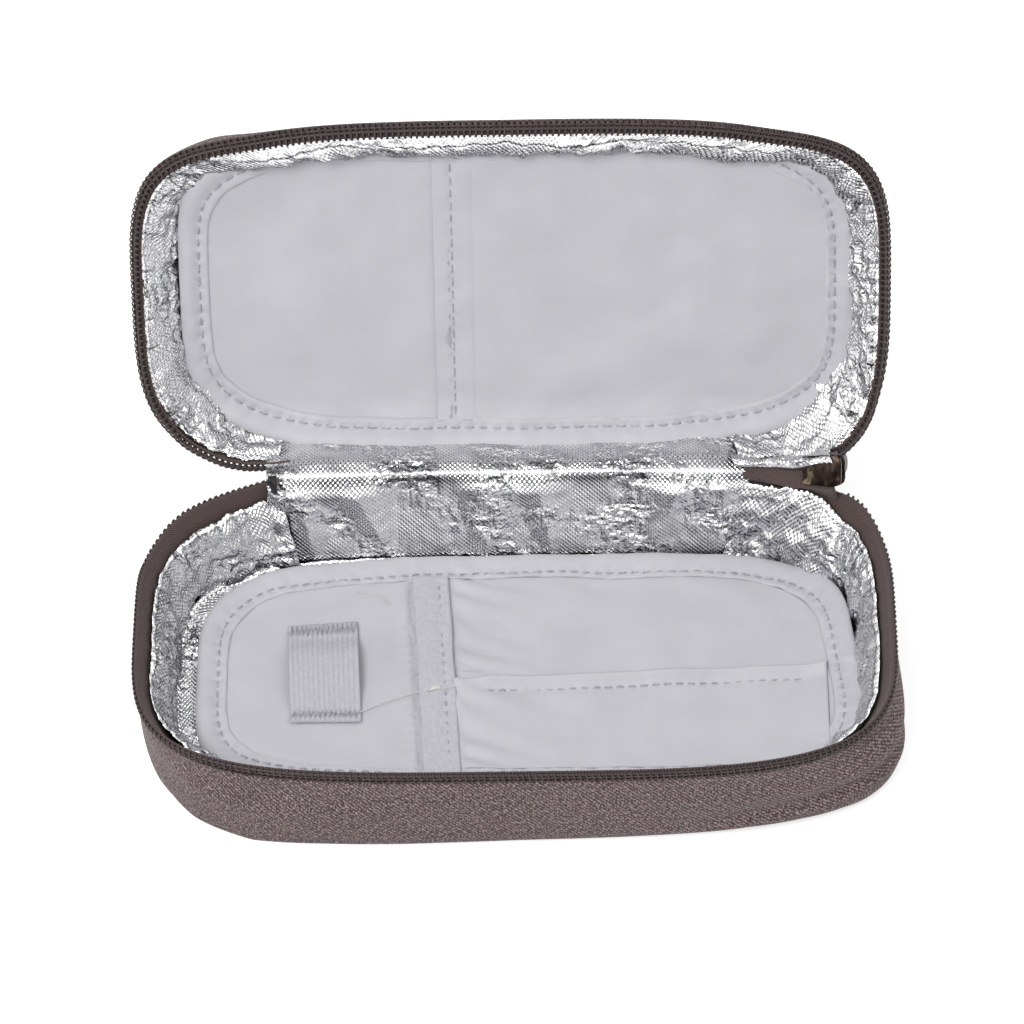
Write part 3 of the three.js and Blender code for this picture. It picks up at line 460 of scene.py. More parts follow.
def gunMetal():
    # die-cast zinc with a dark nickel plating, tumbled: bronze black; its colour is painted reflection, with warm
    # light tones picked by the way the dented surface points
    material, tree, place = newMaterial("plated_zinc_casting", ownUv=False)
    dents = addNode(tree, "TexNoise", {"Scale": 240.0, "Detail": 1.0}, place)
    tumbled = addNode(tree, "Bump", {"Strength": 0.8, "Distance": 1.1 * mm}, {"Height": dents})
    # painted reflection: a noise read over the dented normal picks tones from bronze black to warm light
    paintedReflection = addNode(tree, "TexNoise", {"Scale": 2.6, "Detail": 1.0}, {"Vector": tumbled})
    colour = addNode(tree, "ValToRGB", {"stops": ((0.45, "#1b1614"), (0.66, "#3a2f29"), (0.8, "#a8967f"))}, {0: paintedReflection})
    peel = addNode(tree, "TexNoise", {"Scale": 700.0, "Detail": 2.0}, place)
    relief = addNode(tree, "Bump", {"Strength": 0.15, "Distance": 0.05 * mm}, {"Height": peel})
    return shaded(material, {"Roughness": 0.3, "Metallic": 1.0}, {"Base Color": colour, "Normal": relief})


def stopPlastic():
    # small acetal clip, moulded on: near black, satin, faint orange peel
    material, tree, place = newMaterial("moulded_acetal", ownUv=False)
    peel = addNode(tree, "TexNoise", {"Scale": 1500.0, "Detail": 1.0}, place)
    colour = addNode(tree, "ValToRGB", {"stops": ((0, "#191616"), (1, "#2b2626"))}, {0: peel})
    relief = addNode(tree, "Bump", {"Strength": 0.1, "Distance": 0.05 * mm}, {"Height": peel})
    return shaded(material, {"Roughness": 0.45, "IOR": 1.48}, {"Base Color": colour, "Normal": relief})


looks = {
    "heather": heatherTwill(),
    "tape": tapeTwill(),
    "coil": coilNylon(),
    "foil": foilFilm(),
    "nylon": liningNylon(),
    "elastic": ribbedElastic(),
    "slider": gunMetal(),
    "stop": stopPlastic(),
    "paleThread": sewingThread("pale_sewing_thread", "#a3a2aa", "#c9c8d0"),
    "looseThread": sewingThread("pale_loose_thread", "#cdcbcc", "#ebe9e6"),
    "darkThread": sewingThread("brown_sewing_thread", "#3b3030", "#6b5a58"),
}
print("stage: materials made")


def dress(piece, look, body=None, nodes=()):
    # material, slot, body and the solids that the piece stands for
    piece.data.materials.clear()
    piece.data.materials.append(looks[look])
    if body:
        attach(piece, body)
    if nodes:
        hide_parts(*nodes)
    return piece


# Rim: the tape leans, and the coil, stitches, fabric edge and foil edge follow it

baseShell = {
    "label": "base",
    "height": case["baseHeight"],
    # threes are for the side, rear and front walls
    "tapeInset": (1.25, 1.25, 1.25),
    "lean": (0.42, 0.12, 0.02),
    "roll": (0.0, 0.0, 0.3),
    "rollReach": 2.5,
    "fabricOut": (1.35, 1.35, 1.35),
    "fabricDrop": 3.9,
    "foilDrop": 5.8,
    "cornerDrop": 1.0,
    "cornerInset": 3.2,
    "foilFoot": 9.4,
    "taper": 0.0,
    "tuck": 0.0,
    "bulge": 0.35,
    "sag": 1.5,
    "toothShift": 0.0,
    "waveSeed": 3.0,
    "foilSeed": 2.0,
    "panelNodes": ("base_bottom_panel", "base_bottom_foam"),
    "foilNodes": ("base_foil_wall", "base_foil_floor"),
    # how far the rim is drawn towards the hinge, by x
    "pull": ((-100, -1), (-98, -3.4), (-95, -2.6), (-92, -1.2), (-88, -0.2), (-77, 0.6), (-70, 1.4), (-66, 2.1),
             (-60, 0.9), (-50, 0), (50, 0), (62, 1.2), (75, 2.6), (87, 3.3), (90, 3.7), (93, 3.5), (96, 1.5),
             (98, -0.4), (100, -1)),
}
lidShell = {
    "label": "lid",
    "height": case["lidHeight"],
    "tapeInset": (-0.5, 0.5, 2.2),
    "lean": (0.3, 0.1, 0.45),
    "roll": (3.3, 1.6, 4.2),
    "rollReach": 2.1,
    "fabricOut": (1.2, 1.3, 0.7),
    "fabricDrop": 5.4,
    "foilDrop": 3.4,
    "cornerDrop": -0.5,
    "cornerInset": -0.1,
    "foilFoot": 10.4,
    "taper": 0.46,
    "tuck": 1.0,
    "bulge": 0.4,
    "sag": 0.0,
    "toothShift": 0.5,
    "waveSeed": 11.0,
    "foilSeed": 6.0,
    "panelNodes": ("lid_top_panel", "lid_top_foam"),
    "foilNodes": ("lid_foil_wall", "lid_foil_top"),
    "pull": ((-100, 0.5), (-99, 2), (-95.4, 3.1), (-91.9, 3.5), (-88.3, 4.3), (-82.6, 4.6), (-77.9, 4.9), (-72, 4.4),
             (-66, 3.1), (-60, 1.6), (-50, 0), (50, 0), (60, 2), (70, 4), (80, 7), (88.2, 9.1), (90.6, 8.7),
             (93.5, 8), (95.8, 6.6), (97.6, 4), (100, 1.5)),
}
shells = (baseShell, lidShell)
zipper = {
    "pitch": 1.64,
    "sides": 5,
    "wire": 0.36,
    "cord": 0.5,
    "cordDrop": 0.85,
    "legLow": 0.4,
    "legHigh": 1.12,
    "root": 3.15,
    "head": 0.15,
    "tapeWidth": 12,
    "tapeTop": 0.2,
    "tapeBottom": 12.0,
    "tapeThickness": 0.55,
    "tapeRows": 14,
    "tuckedFrom": 8.5,
    "tuckCorner": (82, 13),  # x of the far corners and reach
    "rimGap": 0.55,  # both rims stop this far from the plane in which they meet
    "stitchRows": (1.35, 2.5),
    "thread": 0.2,
    "rows": 620,
}


def settled(points, shell):
    # the soft rim gives near the hinge, most at the zip and less further down the wall
    x, y, z = points[..., 0], points[..., 1], points[..., 2]
    places, pulls = zip(*shell["pull"])
    weight = smoothStep(y, 2, 30) * (1 - 0.75 * smoothStep(shell["height"] - z, 1, 0.9 * shell["height"]))
    return joined(x, y + np.interp(x, places, pulls) * weight, z)


def placeBase(points):
    return settled(points, baseShell)


def placeLid(points):
    return overLid(settled(points, lidShell))


baseShell["place"] = placeBase
lidShell["place"] = placeLid


def turnedWith(shell, directions):
    return overLid(directions) - overLid(0 * directions) if shell is lidShell else directions


def wallShares(turns):
    # how far a place on the outline belongs to the sides, the rear and the front
    side = smoothStep(np.abs(np.cos(turns)), 0.45, 0.95)
    rear = smoothStep(np.sin(turns), 0.0, 0.6) * (1 - side)
    return side, rear, np.maximum(1 - side - rear, 0)


def wallMix(turns, values):
    return sum(value * share for value, share in zip(values, wallShares(turns)))


def tapeInset(turns, drop, shell):
    roll = wallMix(turns, shell["roll"]) * np.exp(-np.maximum(drop, -1) / shell["rollReach"])
    return wallMix(turns, shell["tapeInset"]) + wallMix(turns, shell["lean"]) * drop + roll


def rimPlace(turns, drop, out, shell):
    # drop millimetres below the rim and out millimetres off the zip tape's outer face
    step = 0.05
    slope = (tapeInset(turns, drop + step, shell) - tapeInset(turns, drop - step, shell)) / (2 * step)
    size = np.sqrt(1 + slope ** 2)
    points = ringAt(turns, tapeInset(turns, drop, shell) - out / size,
                    shell["height"] - zipper["rimGap"] - drop - out * slope / size)
    return shell["place"](points)


zipRange = rearTurn(case["zipLeftEnd"]), fullTurn + rearTurn(case["zipRightEnd"])
tapeRange = rearTurn(case["zipLeftEnd"] + 5), fullTurn + rearTurn(case["zipRightEnd"] - 1)


def layTape(shell):
    turns, length = evenTurns(*tapeRange, zipper["rows"])
    drops = np.linspace(zipper["tapeTop"], zipper["tapeBottom"], zipper["tapeRows"])[:, None]
    # below the fabric's edge the tape is tucked in, most at the far corners
    x, y = planPoints(turns, 0)
    corner = bell(np.abs(x), *zipper["tuckCorner"]) * smoothStep(-y, 8, 30)
    tuck = shell["tuck"] * (1 + 3 * corner) * smoothStep(drops, shell["fabricDrop"], zipper["tuckedFrom"])
    grid = rimPlace(turns, drops, -tuck, shell)
    return clothSheet(shell["label"] + "_tape_twill", grid, zipper["tapeThickness"]), length


def wound(shape, count, shift):
    # the points of one turn of the filament, repeated for each tooth
    shape = np.array(shape)
    along = (np.arange(count)[:, None] + shape[:, 0] + shift) * zipper["pitch"]
    return along.ravel(), np.tile(shape[:, 1], count), np.tile(shape[:, 2], count)


def layCoil(shell):
    # one filament wound along the whole rim, a flattened turn for each tooth
    samples = 4001
    even, length = evenTurns(*zipRange, samples)
    count = int(length / zipper["pitch"]) - 1
    low, high, root, head = zipper["legLow"], zipper["legHigh"], zipper["root"], -zipper["head"]
    middle = (low + high) / 2
    along, out, drop = wound((
        (0.00, low, root), (0.05, low, 0.6 * root), (0.10, low, 0.5), (0.20, middle, head), (0.30, high, 0.4),
        (0.38, high, 0.5 * root), (0.46, high, 0.94 * root), (0.62, middle, 1.1 * root), (0.85, low, 1.05 * root),
    ), count, shell["toothShift"])
    margin = (length - count * zipper["pitch"]) / 2
    turns = np.interp(along + margin, np.linspace(0, length, samples), even)
    path = rimPlace(turns, drop, out, shell)
    ahead = rimPlace(turns + 0.002, drop, out, shell)
    # the filler cord that the filament is wound round
    turns = evenTurns(*zipRange, zipper["rows"])[0]
    cord = rimPlace(turns, zipper["cordDrop"], middle, shell)
    beside = rimPlace(turns, zipper["cordDrop"] + 0.5, middle, shell) - cord
    return tubes(shell["label"] + "_coil", [path, cord], [zipper["wire"], zipper["cord"]], zipper["sides"],
                 [ahead - path, beside])


def layCoilStitches(shell):
    count = int(evenTurns(*zipRange, 2)[1] / zipper["pitch"])
    turns = evenTurns(*zipRange, count * 4)[0]
    wave = np.cos(np.arange(len(turns)) * math.pi / 2)
    out = zipper["legHigh"] + zipper["wire"] * (0.75 + 0.45 * wave)
    paths = [rimPlace(turns, row, out, shell) for row in zipper["stitchRows"]]
    sideways = [rimPlace(turns, row + 0.5, out, shell) - path for row, path in zip(zipper["stitchRows"], paths)]
    return tubes(shell["label"] + "_coil_stitches", paths, zipper["thread"], 4, sideways)


for shell in shells:
    label = shell["label"]
    tape, tapeLength = layTape(shell)
    dress(tape, "tape", label, [label + "_zip_tape"])
    dress(layCoil(shell), "coil", label, [label + "_zip_teeth"])
    dress(layCoilStitches(shell), "darkThread", label)
print("stage: zip laid")


# Outer shells of heather fabric

fabric = {
    "rows": 26,
    "thickness": 0.8,
    "fill": 0.8,
    "wave": 0.4,
    "waveLength": (26, 14),  # along and up the wall
    "columns": 360,
    # radius of the lower edge along the front, by x, and on the other walls
    "frontRadius": ((-100, 4), (-85, 2.4), (-68, 1.4), (-30, 1.9), (20, 3.9), (50, 5.4), (75, 6.4), (90, 4.8),
                    (100, 5)),
    "otherRadius": 6,
    "baseSeam": 2.6,
    "seamRise": 5.6,
    "lidSeam": 3.2,
    # how far the base's wall stands in or out low down, by x along the front
    "frontLean": ((-100, 2.4), (-92, 2.1), (-84, 0.4), (-68, -1.2), (-50, -0.5), (0, 0), (60, 0), (85, -0.8),
                  (100, -2.9)),
}


def baseSeam(turns):
    # the sewn edge of the bottom panel rises at the front right
    x, y = planPoints(turns, 0)
    return fabric["baseSeam"] + fabric["seamRise"] * smoothStep(x, 40, 96) * smoothStep(-y, -20, 40)


def lidSeam(turns):
    return np.full(len(turns), fabric["lidSeam"])


baseShell["seam"] = baseSeam
lidShell["seam"] = lidSeam


def roundedInset(turns, z, shell):
    # inset of the outer face at height z: the lower edge is rounded, the lid's walls draw in, the base's lean
    x, y = planPoints(turns, 0)
    places, radii = zip(*fabric["frontRadius"])
    front = smoothStep(-y, 15, 40) if shell is baseShell else 0
    radius = fabric["otherRadius"] + (np.interp(x, places, radii) - fabric["otherRadius"]) * front
    rounding = radius - np.sqrt(np.maximum(radius ** 2 - np.maximum(radius - z, 0) ** 2, 0))
    depth = shell["height"] - z
    if shell is baseShell:
        places, leans = zip(*fabric["frontLean"])
        return rounding + np.interp(x, places, leans) * smoothStep(depth, 1, 19) * smoothStep(-y, -5, 30)
    corner = bell(x, -86, 15) * smoothStep(-y, 15, 30)
    front = smoothStep(-y, 10, 38)
    slope = shell["taper"] * front * (1 - 0.45 * corner) + 0.12 * (1 - front)
    return rounding + front * (3.1 - 1.9 * corner) + slope * np.maximum(depth - 3, 0)


def shellBand(shell):
    turns = ringTurns(fabric["columns"])[0]
    top = shell["height"] - shell["fabricDrop"]
    seam = shell["seam"](turns)
    rimInset = tapeInset(turns, shell["fabricDrop"], shell) - wallMix(turns, shell["fabricOut"])
    x, y = planPoints(turns, 0)
    waveAlong, waveUp = fabric["waveLength"]
    # the base's wall sags above its lower seam at the front right
    hollow = shell["sag"] * smoothStep(x, 35, 75) * smoothStep(-y, -5, 30)
    grid = []
    for share in np.linspace(0, 1, fabric["rows"]):
        z = seam + (top - seam) * share
        swell = shell["bulge"] * math.sin(math.pi * share) ** 0.7
        wobble = smoothNoise(joined(x / waveAlong + shell["waveSeed"], y / waveAlong, z / waveUp))
        inset = roundedInset(turns, z, shell) - swell - fabric["wave"] * wobble * math.sin(math.pi * share)
        inset = inset + (rimInset - inset) * smoothStep(share, 0.5, 1.0)
        inset = inset + hollow * bell(share, 0.24, 0.13) - 0.4 * hollow * bell(share, 0.02, 0.08)
        grid.append(ringAt(turns, inset, z))
    # the top edge is folded in and sewn to the tape
    for fold, drop in ((0.5, -0.35), (1.1, 0.2)):
        grid.append(ringAt(turns, rimInset + fold, top - drop))
    return clothSheet(shell["label"] + "_fabric_band", grid, fabric["thickness"], shell["place"],
                      turnedWith(shell, np.array(grid) * (1, 1, 0)), closed=True)


def shellPanel(shell):
    turns = ringTurns(fabric["columns"])[0]
    seam = shell["seam"](turns)
    grid = []
    for share in (1, 0.9, 0.75, 0.6, 0.45, 0.3, 0.15, 0.05, 0):
        z = seam * share ** 1.6
        inset = roundedInset(turns, z, shell)
        grid.append(ringAt(turns, inset, z))
    # the weave runs straight over the flat middle and on up the rounded edge
    edge = np.stack(planPoints(turns, inset), -1)
    outward = np.stack(planPoints(turns, inset - 1), -1) - edge
    steps = np.linalg.norm(np.diff(np.array(grid), axis=0), axis=-1)
    reach = np.concatenate([np.cumsum(steps[::-1], 0)[::-1], 0 * steps[:1]])
    uv = list(edge + outward * reach[..., None])
    for share in (0.05, 0.12, 0.2):
        grid.append(ringAt(turns, inset + (case["halfWidth"] - inset) * share, 0))
        uv.append(grid[-1][:, :2])
    uv = np.array(uv)
    return clothSheet(shell["label"] + "_fabric_panel", grid, fabric["thickness"], shell["place"],
                      -upOf(shell["place"]), closed=True, uv=np.concatenate([uv, uv[:, :1]], 1), capped=True)


for shell in shells:
    label = shell["label"]
    band = shellBand(shell)
    panel = shellPanel(shell)
    dress(band, "heather", label, [label + "_side_band", label + "_wall_foam"])
    dress(panel, "heather", label, shell["panelNodes"])
print("stage: fabric shells made")


# Foil lining

foil = {
    "rows": 40,
    "thickness": 0.15,
    "foot": 6.1,
    "gap": 0.9,  # stands this far inside the tape
    "overlap": 1.2,  # the ring runs this far behind the hinge's foil
    "sewnDepth": 24,
    "ragged": 1.3,
    "facet": 6.0,
    "broadFacet": 15.0,
    "broadShare": 1.5,
    "bedFacet": 5.0,
    "ridgeInset": 9.9,
    "floorLevel": 5.5,
    "bed": (83, 183),
}


def foilCrumple(u, v, seed, size):
    points = joined(u / size, v / size, seed)
    return (voronoi(points) - 0.5) + 0.45 * (voronoi(points * 2.3 + 7.7) - 0.5)


def foilProfile(turns, share, shell):
    # inset and height of the lining at a share of the way from its upper edge to its foot
    x, y = planPoints(turns, 0)
    # beside the slider, at the right end of the hinge, the lining climbs over the tape
    corner = smoothStep(x, 52, 66) * (1 - smoothStep(x, 80, 93)) * smoothStep(y, 20, 36)
    drop = shell["foilDrop"] + (shell["cornerDrop"] - shell["foilDrop"]) * corner
    top = shell["height"] - drop
    start = tapeInset(turns, drop, shell) + foil["gap"]
    start = start + (shell["cornerInset"] - start) * corner
    side, rear, front = wallShares(turns)
    z = top + (foil["foot"] - top) * share
    inset = start + (shell["foilFoot"] + 0.8 - start) * share
    if shell is lidShell:
        hood = smoothStep(-y, 12, 36) * (1 - 0.55 * smoothStep(np.abs(x), 66, 95))
        swell = math.sin(math.pi * min(1, share ** 0.8 * 1.02)) ** 0.75
        inset = inset + (4.6 * hood + 0.9 * side * (1 - hood)) * swell
        inset = inset - 3.2 * rear * math.sin(math.pi * share ** 1.7) ** 0.8
        z = z + hood * 1.6 * math.sin(math.pi * min(1, share * 1.2)) ** 2
    else:
        inset = inset + (0.9 * side + 0.7 * front) * math.sin(math.pi * share) ** 0.8
        inset = inset - 1.6 * share ** 6 * (rear + 0.6 * side)
    return inset, z


def foilWall(shell):
    seed = shell["foilSeed"]
    turns, length = evenTurns(rearTurn(case["hingeLeft"] + foil["overlap"]),
                              fullTurn + rearTurn(case["hingeRight"] - foil["overlap"]), case["columns"])
    along = np.linspace(0, length, len(turns))
    ragged = smoothNoise(joined(along / 3.4, seed, 0)) + 0.6 * smoothNoise(joined(along / 1.3, seed, 4))
    grid = []
    for share in np.linspace(0, 1, foil["rows"]):
        inset, z = foilProfile(turns, share, shell)
        z = z + foil["ragged"] * ragged * (1 - smoothStep(share, 0, 0.3))
        crush = foilCrumple(along, share * foil["sewnDepth"], seed, foil["facet"])
        broad = foilCrumple(along, share * foil["sewnDepth"], seed + 5, foil["broadFacet"])
        relief = (crush + foil["broadShare"] * broad) * smoothStep(share, -0.05, 0.15)
        grid.append(ringAt(turns, inset + relief, z))
    # painted highlight along the lining's upper edge and painted shade just below it
    shine = np.zeros((len(grid), len(turns)))
    for row, paintedValue in enumerate((1.0, 0.7, -0.25)):
        shine[row] = paintedValue
    if shell is lidShell:
        # the lining stands taut along the far wall: painted highlight for a plain bright strip, painted shade for a
        # pressed line, then the net
        x, y = planPoints(turns, 0)
        taut = smoothStep(-y, 30, 46) * (1 - smoothStep(np.abs(x), 70, 88))
        for row, paintedValue in ((1, 1.0), (2, 1.0), (3, 1.0), (4, 0.9), (5, -0.5), (6, 0.5), (7, 0.25)):
            shine[row] += (paintedValue - shine[row]) * taut
    return clothSheet(shell["label"] + "_foil_lining", grid, foil["thickness"], shell["place"],
                      turnedWith(shell, np.array(grid) * (-1, -1, 0)), shine=shine), length


def foilFloor(shell):
    turns, along, length = ringTurns(case["columns"])
    side, rear, front = wallShares(turns)
    grid = []
    shine = []
    for inset in np.concatenate([np.linspace(8.0, 20, 26), [24, 30]]):
        calm = 1 - smoothStep(inset, 15, 22)
        crush = foilCrumple(along, inset, shell["foilSeed"] + 2, foil["bedFacet"])
        # rounded ridge where the base's wall and floor are sewn together
        ridge = bell(inset, foil["ridgeInset"], 0.55) * (rear + 0.7 * side) * (shell is baseShell)
        grid.append(ringAt(turns, inset, foil["floorLevel"] + 0.5 * calm * (crush + 0.5) + 1.7 * ridge))
        # painted highlight on the sewn ridge and painted shade just inside it
        shine.append(1.2 * ridge - 1.2 * bell(inset, foil["ridgeInset"] - 1.5, 0.6))
    return clothSheet(shell["label"] + "_foil_bed", grid, foil["thickness"], shell["place"], closed=True,
                      shine=shine, capped=True)


for shell in shells:
    label = shell["label"]
    wallNode, floorNode = shell["foilNodes"]
    wall, wallLength = foilWall(shell)
    dress(wall, "foil", label, [wallNode])
    floor = dress(foilFloor(shell), "foil", label, [floorNode])
print("stage: foil lining made")


# Fabric and foil across the hinge

hingeCover = {
    "fabricDrop": 5.2,
    "fabricColumns": 60,
    "columns": 250,
    "rows": {"base": 46, "lid": 26},
    "ridgeRows": 12,
    "ridge": (0.5, 1.9),
    "ridgeWeight": 2.4,
    "edgeInset": 1.9,
    "bendFrom": (0, 47.2, 29.5),
    "bendTo": (0, 54.0, 33.0),
    "length": 126,
    "fabricWidth": 12,
    "foilWidth": 52,
    "topDrop": 0.4,
    "facet": 7.0,
    "scallop": 0.6,
    # V-shaped facets of the foil between floor and hinge: place, half width at the hinge, slant, height
    "facets": ((-54, 13, -4, 3.2), (-33, 14, -12, 3.6), (-9, 14, 5, 3.4), (10, 12, -4, 3.0), (36, 17, 9, 3.6),
               (54, 10, 3, 2.8)),
}


def hingeFabricStrip():
    xs = np.linspace(case["hingeLeft"], case["hingeRight"], hingeCover["fabricColumns"])
    rimY = planPoints(rearTurn(xs), 0)[1] + 0.2
    walls = []
    for shell in shells:
        walls.append([shell["place"](joined(xs, rimY + 0.8 * smoothStep(drop, 0.3, 2.5), shell["height"] - drop))
                      for drop in np.linspace(hingeCover["fabricDrop"], hingeCover["topDrop"], 8)])
    rim = placeBase(joined(xs, rimY, case["baseHeight"]))
    rim[..., 1] = np.maximum(rim[..., 1], case["hingeY"] + 0.2)
    fold = [openLid(rim, share) for share in np.linspace(0, 1, 9)]
    return clothSheet("hinge_fabric_strip", walls[0] + fold + walls[1][::-1], fabric["thickness"],
                      facing=(0, -0.3, -1))


def hingeFoilStrip():
    columns = hingeCover["columns"]
    xs = np.linspace(case["hingeLeft"], case["hingeRight"], columns)
    turns = rearTurn(xs)
    walls = []
    for shell in shells:
        lines = []
        for share in np.linspace(1, 0, hingeCover["rows"][shell["label"]]):
            inset, z = foilProfile(turns, share, shell)
            # up to the rim, where the ring's edge stops short
            rise = (1 - share) ** 3
            z = z + (shell["height"] - hingeCover["topDrop"] - z) * rise
            inset = inset + (hingeCover["edgeInset"] - inset) * rise + 0.25
            lines.append(shell["place"](joined(xs, planPoints(turns, inset)[1], z)))
        walls.append(lines)
    below, above = walls
    corner = below[-1] + np.array([0, *hingeCover["ridge"]])
    fold = [bowed(below[-1], corner, above[-1], t, hingeCover["ridgeWeight"])
            for t in np.linspace(0, 1, hingeCover["ridgeRows"] + 2)[1:-1]]
    grid = np.array(below + fold + above[::-1])
    lengths = np.concatenate([[0], np.cumsum(np.linalg.norm(np.diff(grid[:, columns // 2], axis=0), axis=1))])
    ridge = lengths[len(below) + hingeCover["ridgeRows"] // 2]
    relief = []
    shine = []
    for length in lengths:
        away = abs(length - ridge)
        crush = foilCrumple(xs, length, 12.0, hingeCover["facet"])
        rise = min(1.0, length / ridge)
        facets = 0 * xs
        for middle, reach, slant, height in hingeCover["facets"]:
            spread = np.maximum(0, reach * (0.1 + 0.9 * rise) - np.abs(xs - middle - slant * rise)) / reach
            facets = facets + height * spread * (length < ridge)
        scallop = hingeCover["scallop"] * smoothNoise(joined(xs / 9, 0, 8)) * bell(away, 0, 1.6)
        relief.append((0.3 * crush + facets) * smoothStep(away, 0.5, 6) + scallop)
        # painted highlight on the fold's ridge, painted shade beside it and at the strip's lower edge, and a little
        # painted light further off
        shine.append(np.full(columns, bell(away, 0, 0.22) - 0.4 * bell(away, 1.7, 1.3)
                             + 0.1 * smoothStep(away, 4, 8) - 0.6 * bell(length, 0, 1.2)))
    normals = gridNormals(grid, False)
    inward = np.sign((normals * (0, -0.8, 0.6)).sum(-1).mean())
    grid = grid + inward * np.array(relief)[..., None] * normals
    return clothSheet("hinge_foil_strip", grid, foil["thickness"], facing=(0, -0.3, 1), shine=shine)


def blended(piece):
    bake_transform(piece)


hingeFabric = hingeFabricStrip()
hingeFoil = hingeFoilStrip()
dress(hingeFabric, "heather", nodes=["hinge_fabric"])
dress(hingeFoil, "foil", nodes=["hinge_foil"])
for strip, width in ((hingeFabric, hingeCover["fabricWidth"]), (hingeFoil, hingeCover["foilWidth"])):
    blended(strip)
print("stage: hinge covered")


# Closed stretch of the zip, between the hinge and the slider

tail = {
    "start": 63.4,
    "end": 88.0,
    "early": -1.2,  # the tape starts this far before the chain
    "reach": 22.4,
    "tapeHalf": 4.4,
    "upperHalf": 3.0,
    "turnBlend": 0.4193,  # place in the blend that turns by the tail's share
    "tapeOut": -1.25,
    "columns": 44,
    "webStart": 61.0,
    "webDrops": (12.0, 8.5, 5.0, 2.2),
    "facing": (-0.2, -0.7, 0.6),
    "coilStart": 2.2,
    "webRows": 31,
    "webFlat": (17, 28),
    # where the web's bend is measured: along the tail, across its tape, at x on the rim, below the rim
    "bendAt": (15.0, 4.0, 78.0, 5.0),
}
tailFrom, tailTo = [np.array([tail[key], planPoints(rearTurn(tail[key]), 0)[1], case["baseHeight"]])
                    for key in ("start", "end")]
tailAlong = unit(tailTo - tailFrom)
tailOut = np.array([-tailAlong[1], tailAlong[0], 0])


def tailPoint(s, n, w):
    # s along the closed chain, n outwards, w across the tape
    s, n, w = np.broadcast_arrays(s, n, w)
    point = tailFrom + s[..., None] * tailAlong + n[..., None] * tailOut + w[..., None] * np.array([0, 0, 1])
    return openLid(point, case["tailShare"])


tailWay = tailPoint(1, 0, 0) - tailPoint(0, 0, 0)


def tailReach(s, side):
    # the tape's free width grows from the hinge to the slider
    low, high = (1.4, tail["tapeHalf"]) if side < 0 else (0.8, tail["upperHalf"])
    return low + (high - low) * smoothStep(s, -2, 13)


def tailTape(name, side):
    s = np.linspace(tail["early"], tail["reach"], tail["columns"])
    w = side * (0.04 + (tailReach(s, side) - 0.04) * np.linspace(0, 1, 8)[:, None])
    return clothSheet(name, tailPoint(s, tail["tapeOut"], w), zipper["tapeThickness"], facing=tail["facing"])


def tailWeb(name, side, shell):
    turns = rearTurn(np.linspace(tail["webStart"], case["zipRightEnd"] + 0.4, tail["columns"]))
    coarse = [rimPlace(turns, drop, 0, shell) for drop in tail["webDrops"]]
    s = np.linspace(tail["early"] - 0.6, tail["reach"] + 0.8, tail["columns"])
    for beyond, out in ((0.7, 0), (-0.5, -0.1)):
        coarse.append(tailPoint(s, tail["tapeOut"] + out, side * (tailReach(s, side) + beyond)))
    return clothSheet(name, resampled(coarse, tail["webRows"], 4), zipper["tapeThickness"], facing=tail["facing"])


def tailCoil():
    # both rows of the coil in mesh
    low, high = zipper["legLow"] + tail["tapeOut"], zipper["legHigh"] + tail["tapeOut"]
    middle = (low + high) / 2
    count = int(tail["reach"] / zipper["pitch"]) - 1
    paths = []
    for side, shell in zip((-1, 1), shells):
        s, n, w = wound((
            (0.0, low, 2.9), (0.1, low, 0.4), (0.2, middle, -0.35), (0.3, high, 0.3),
            (0.4, high, 1.6), (0.48, high, 2.8), (0.62, middle, 3.2), (0.85, low, 3.1),
        ), count, shell["toothShift"])
        paths.append(tailPoint(s + tail["coilStart"], n, side * w))
    return tubes("tail_coil", paths, zipper["wire"], zipper["sides"], [tailWay] * 2)


def bendWithTail(piece, side, shell):
    # the cloth beside the tail is already laid from the rim to the tail; here the step between them is measured but
    # not used, and the piece's transform is baked
    s, w, x, drop = tail["bendAt"]
    tailEdge = tailPoint(s, tail["tapeOut"], side * w)
    step = tailEdge - rimPlace(rearTurn(x), drop, 0, shell)
    step = step - (step @ tailWay) * tailWay
    if side < 0:
        blended(piece)
    else:
        blended(piece)


for side, word, shell in ((-1, "lower", baseShell), (1, "upper", lidShell)):
    tape = dress(tailTape("tail_twill_" + word, side), "tape", "zip_tail", ["tail_tape_" + word])
    web = dress(tailWeb("twist_twill_" + word, side, shell), "tape", nodes=["zip_web_" + word])
    bendWithTail(web, side, shell)

cornerFoil = {
    "columns": 90,
    "rows": 26,
    "from": 59.0,
    "to": 86.0,
    "ringShare": 0.16,
    "alongTail": (-4.0, 23.6),
    "foldWeight": 1.6,
    "facet": 5.0,
    "flat": (14, 29),
}


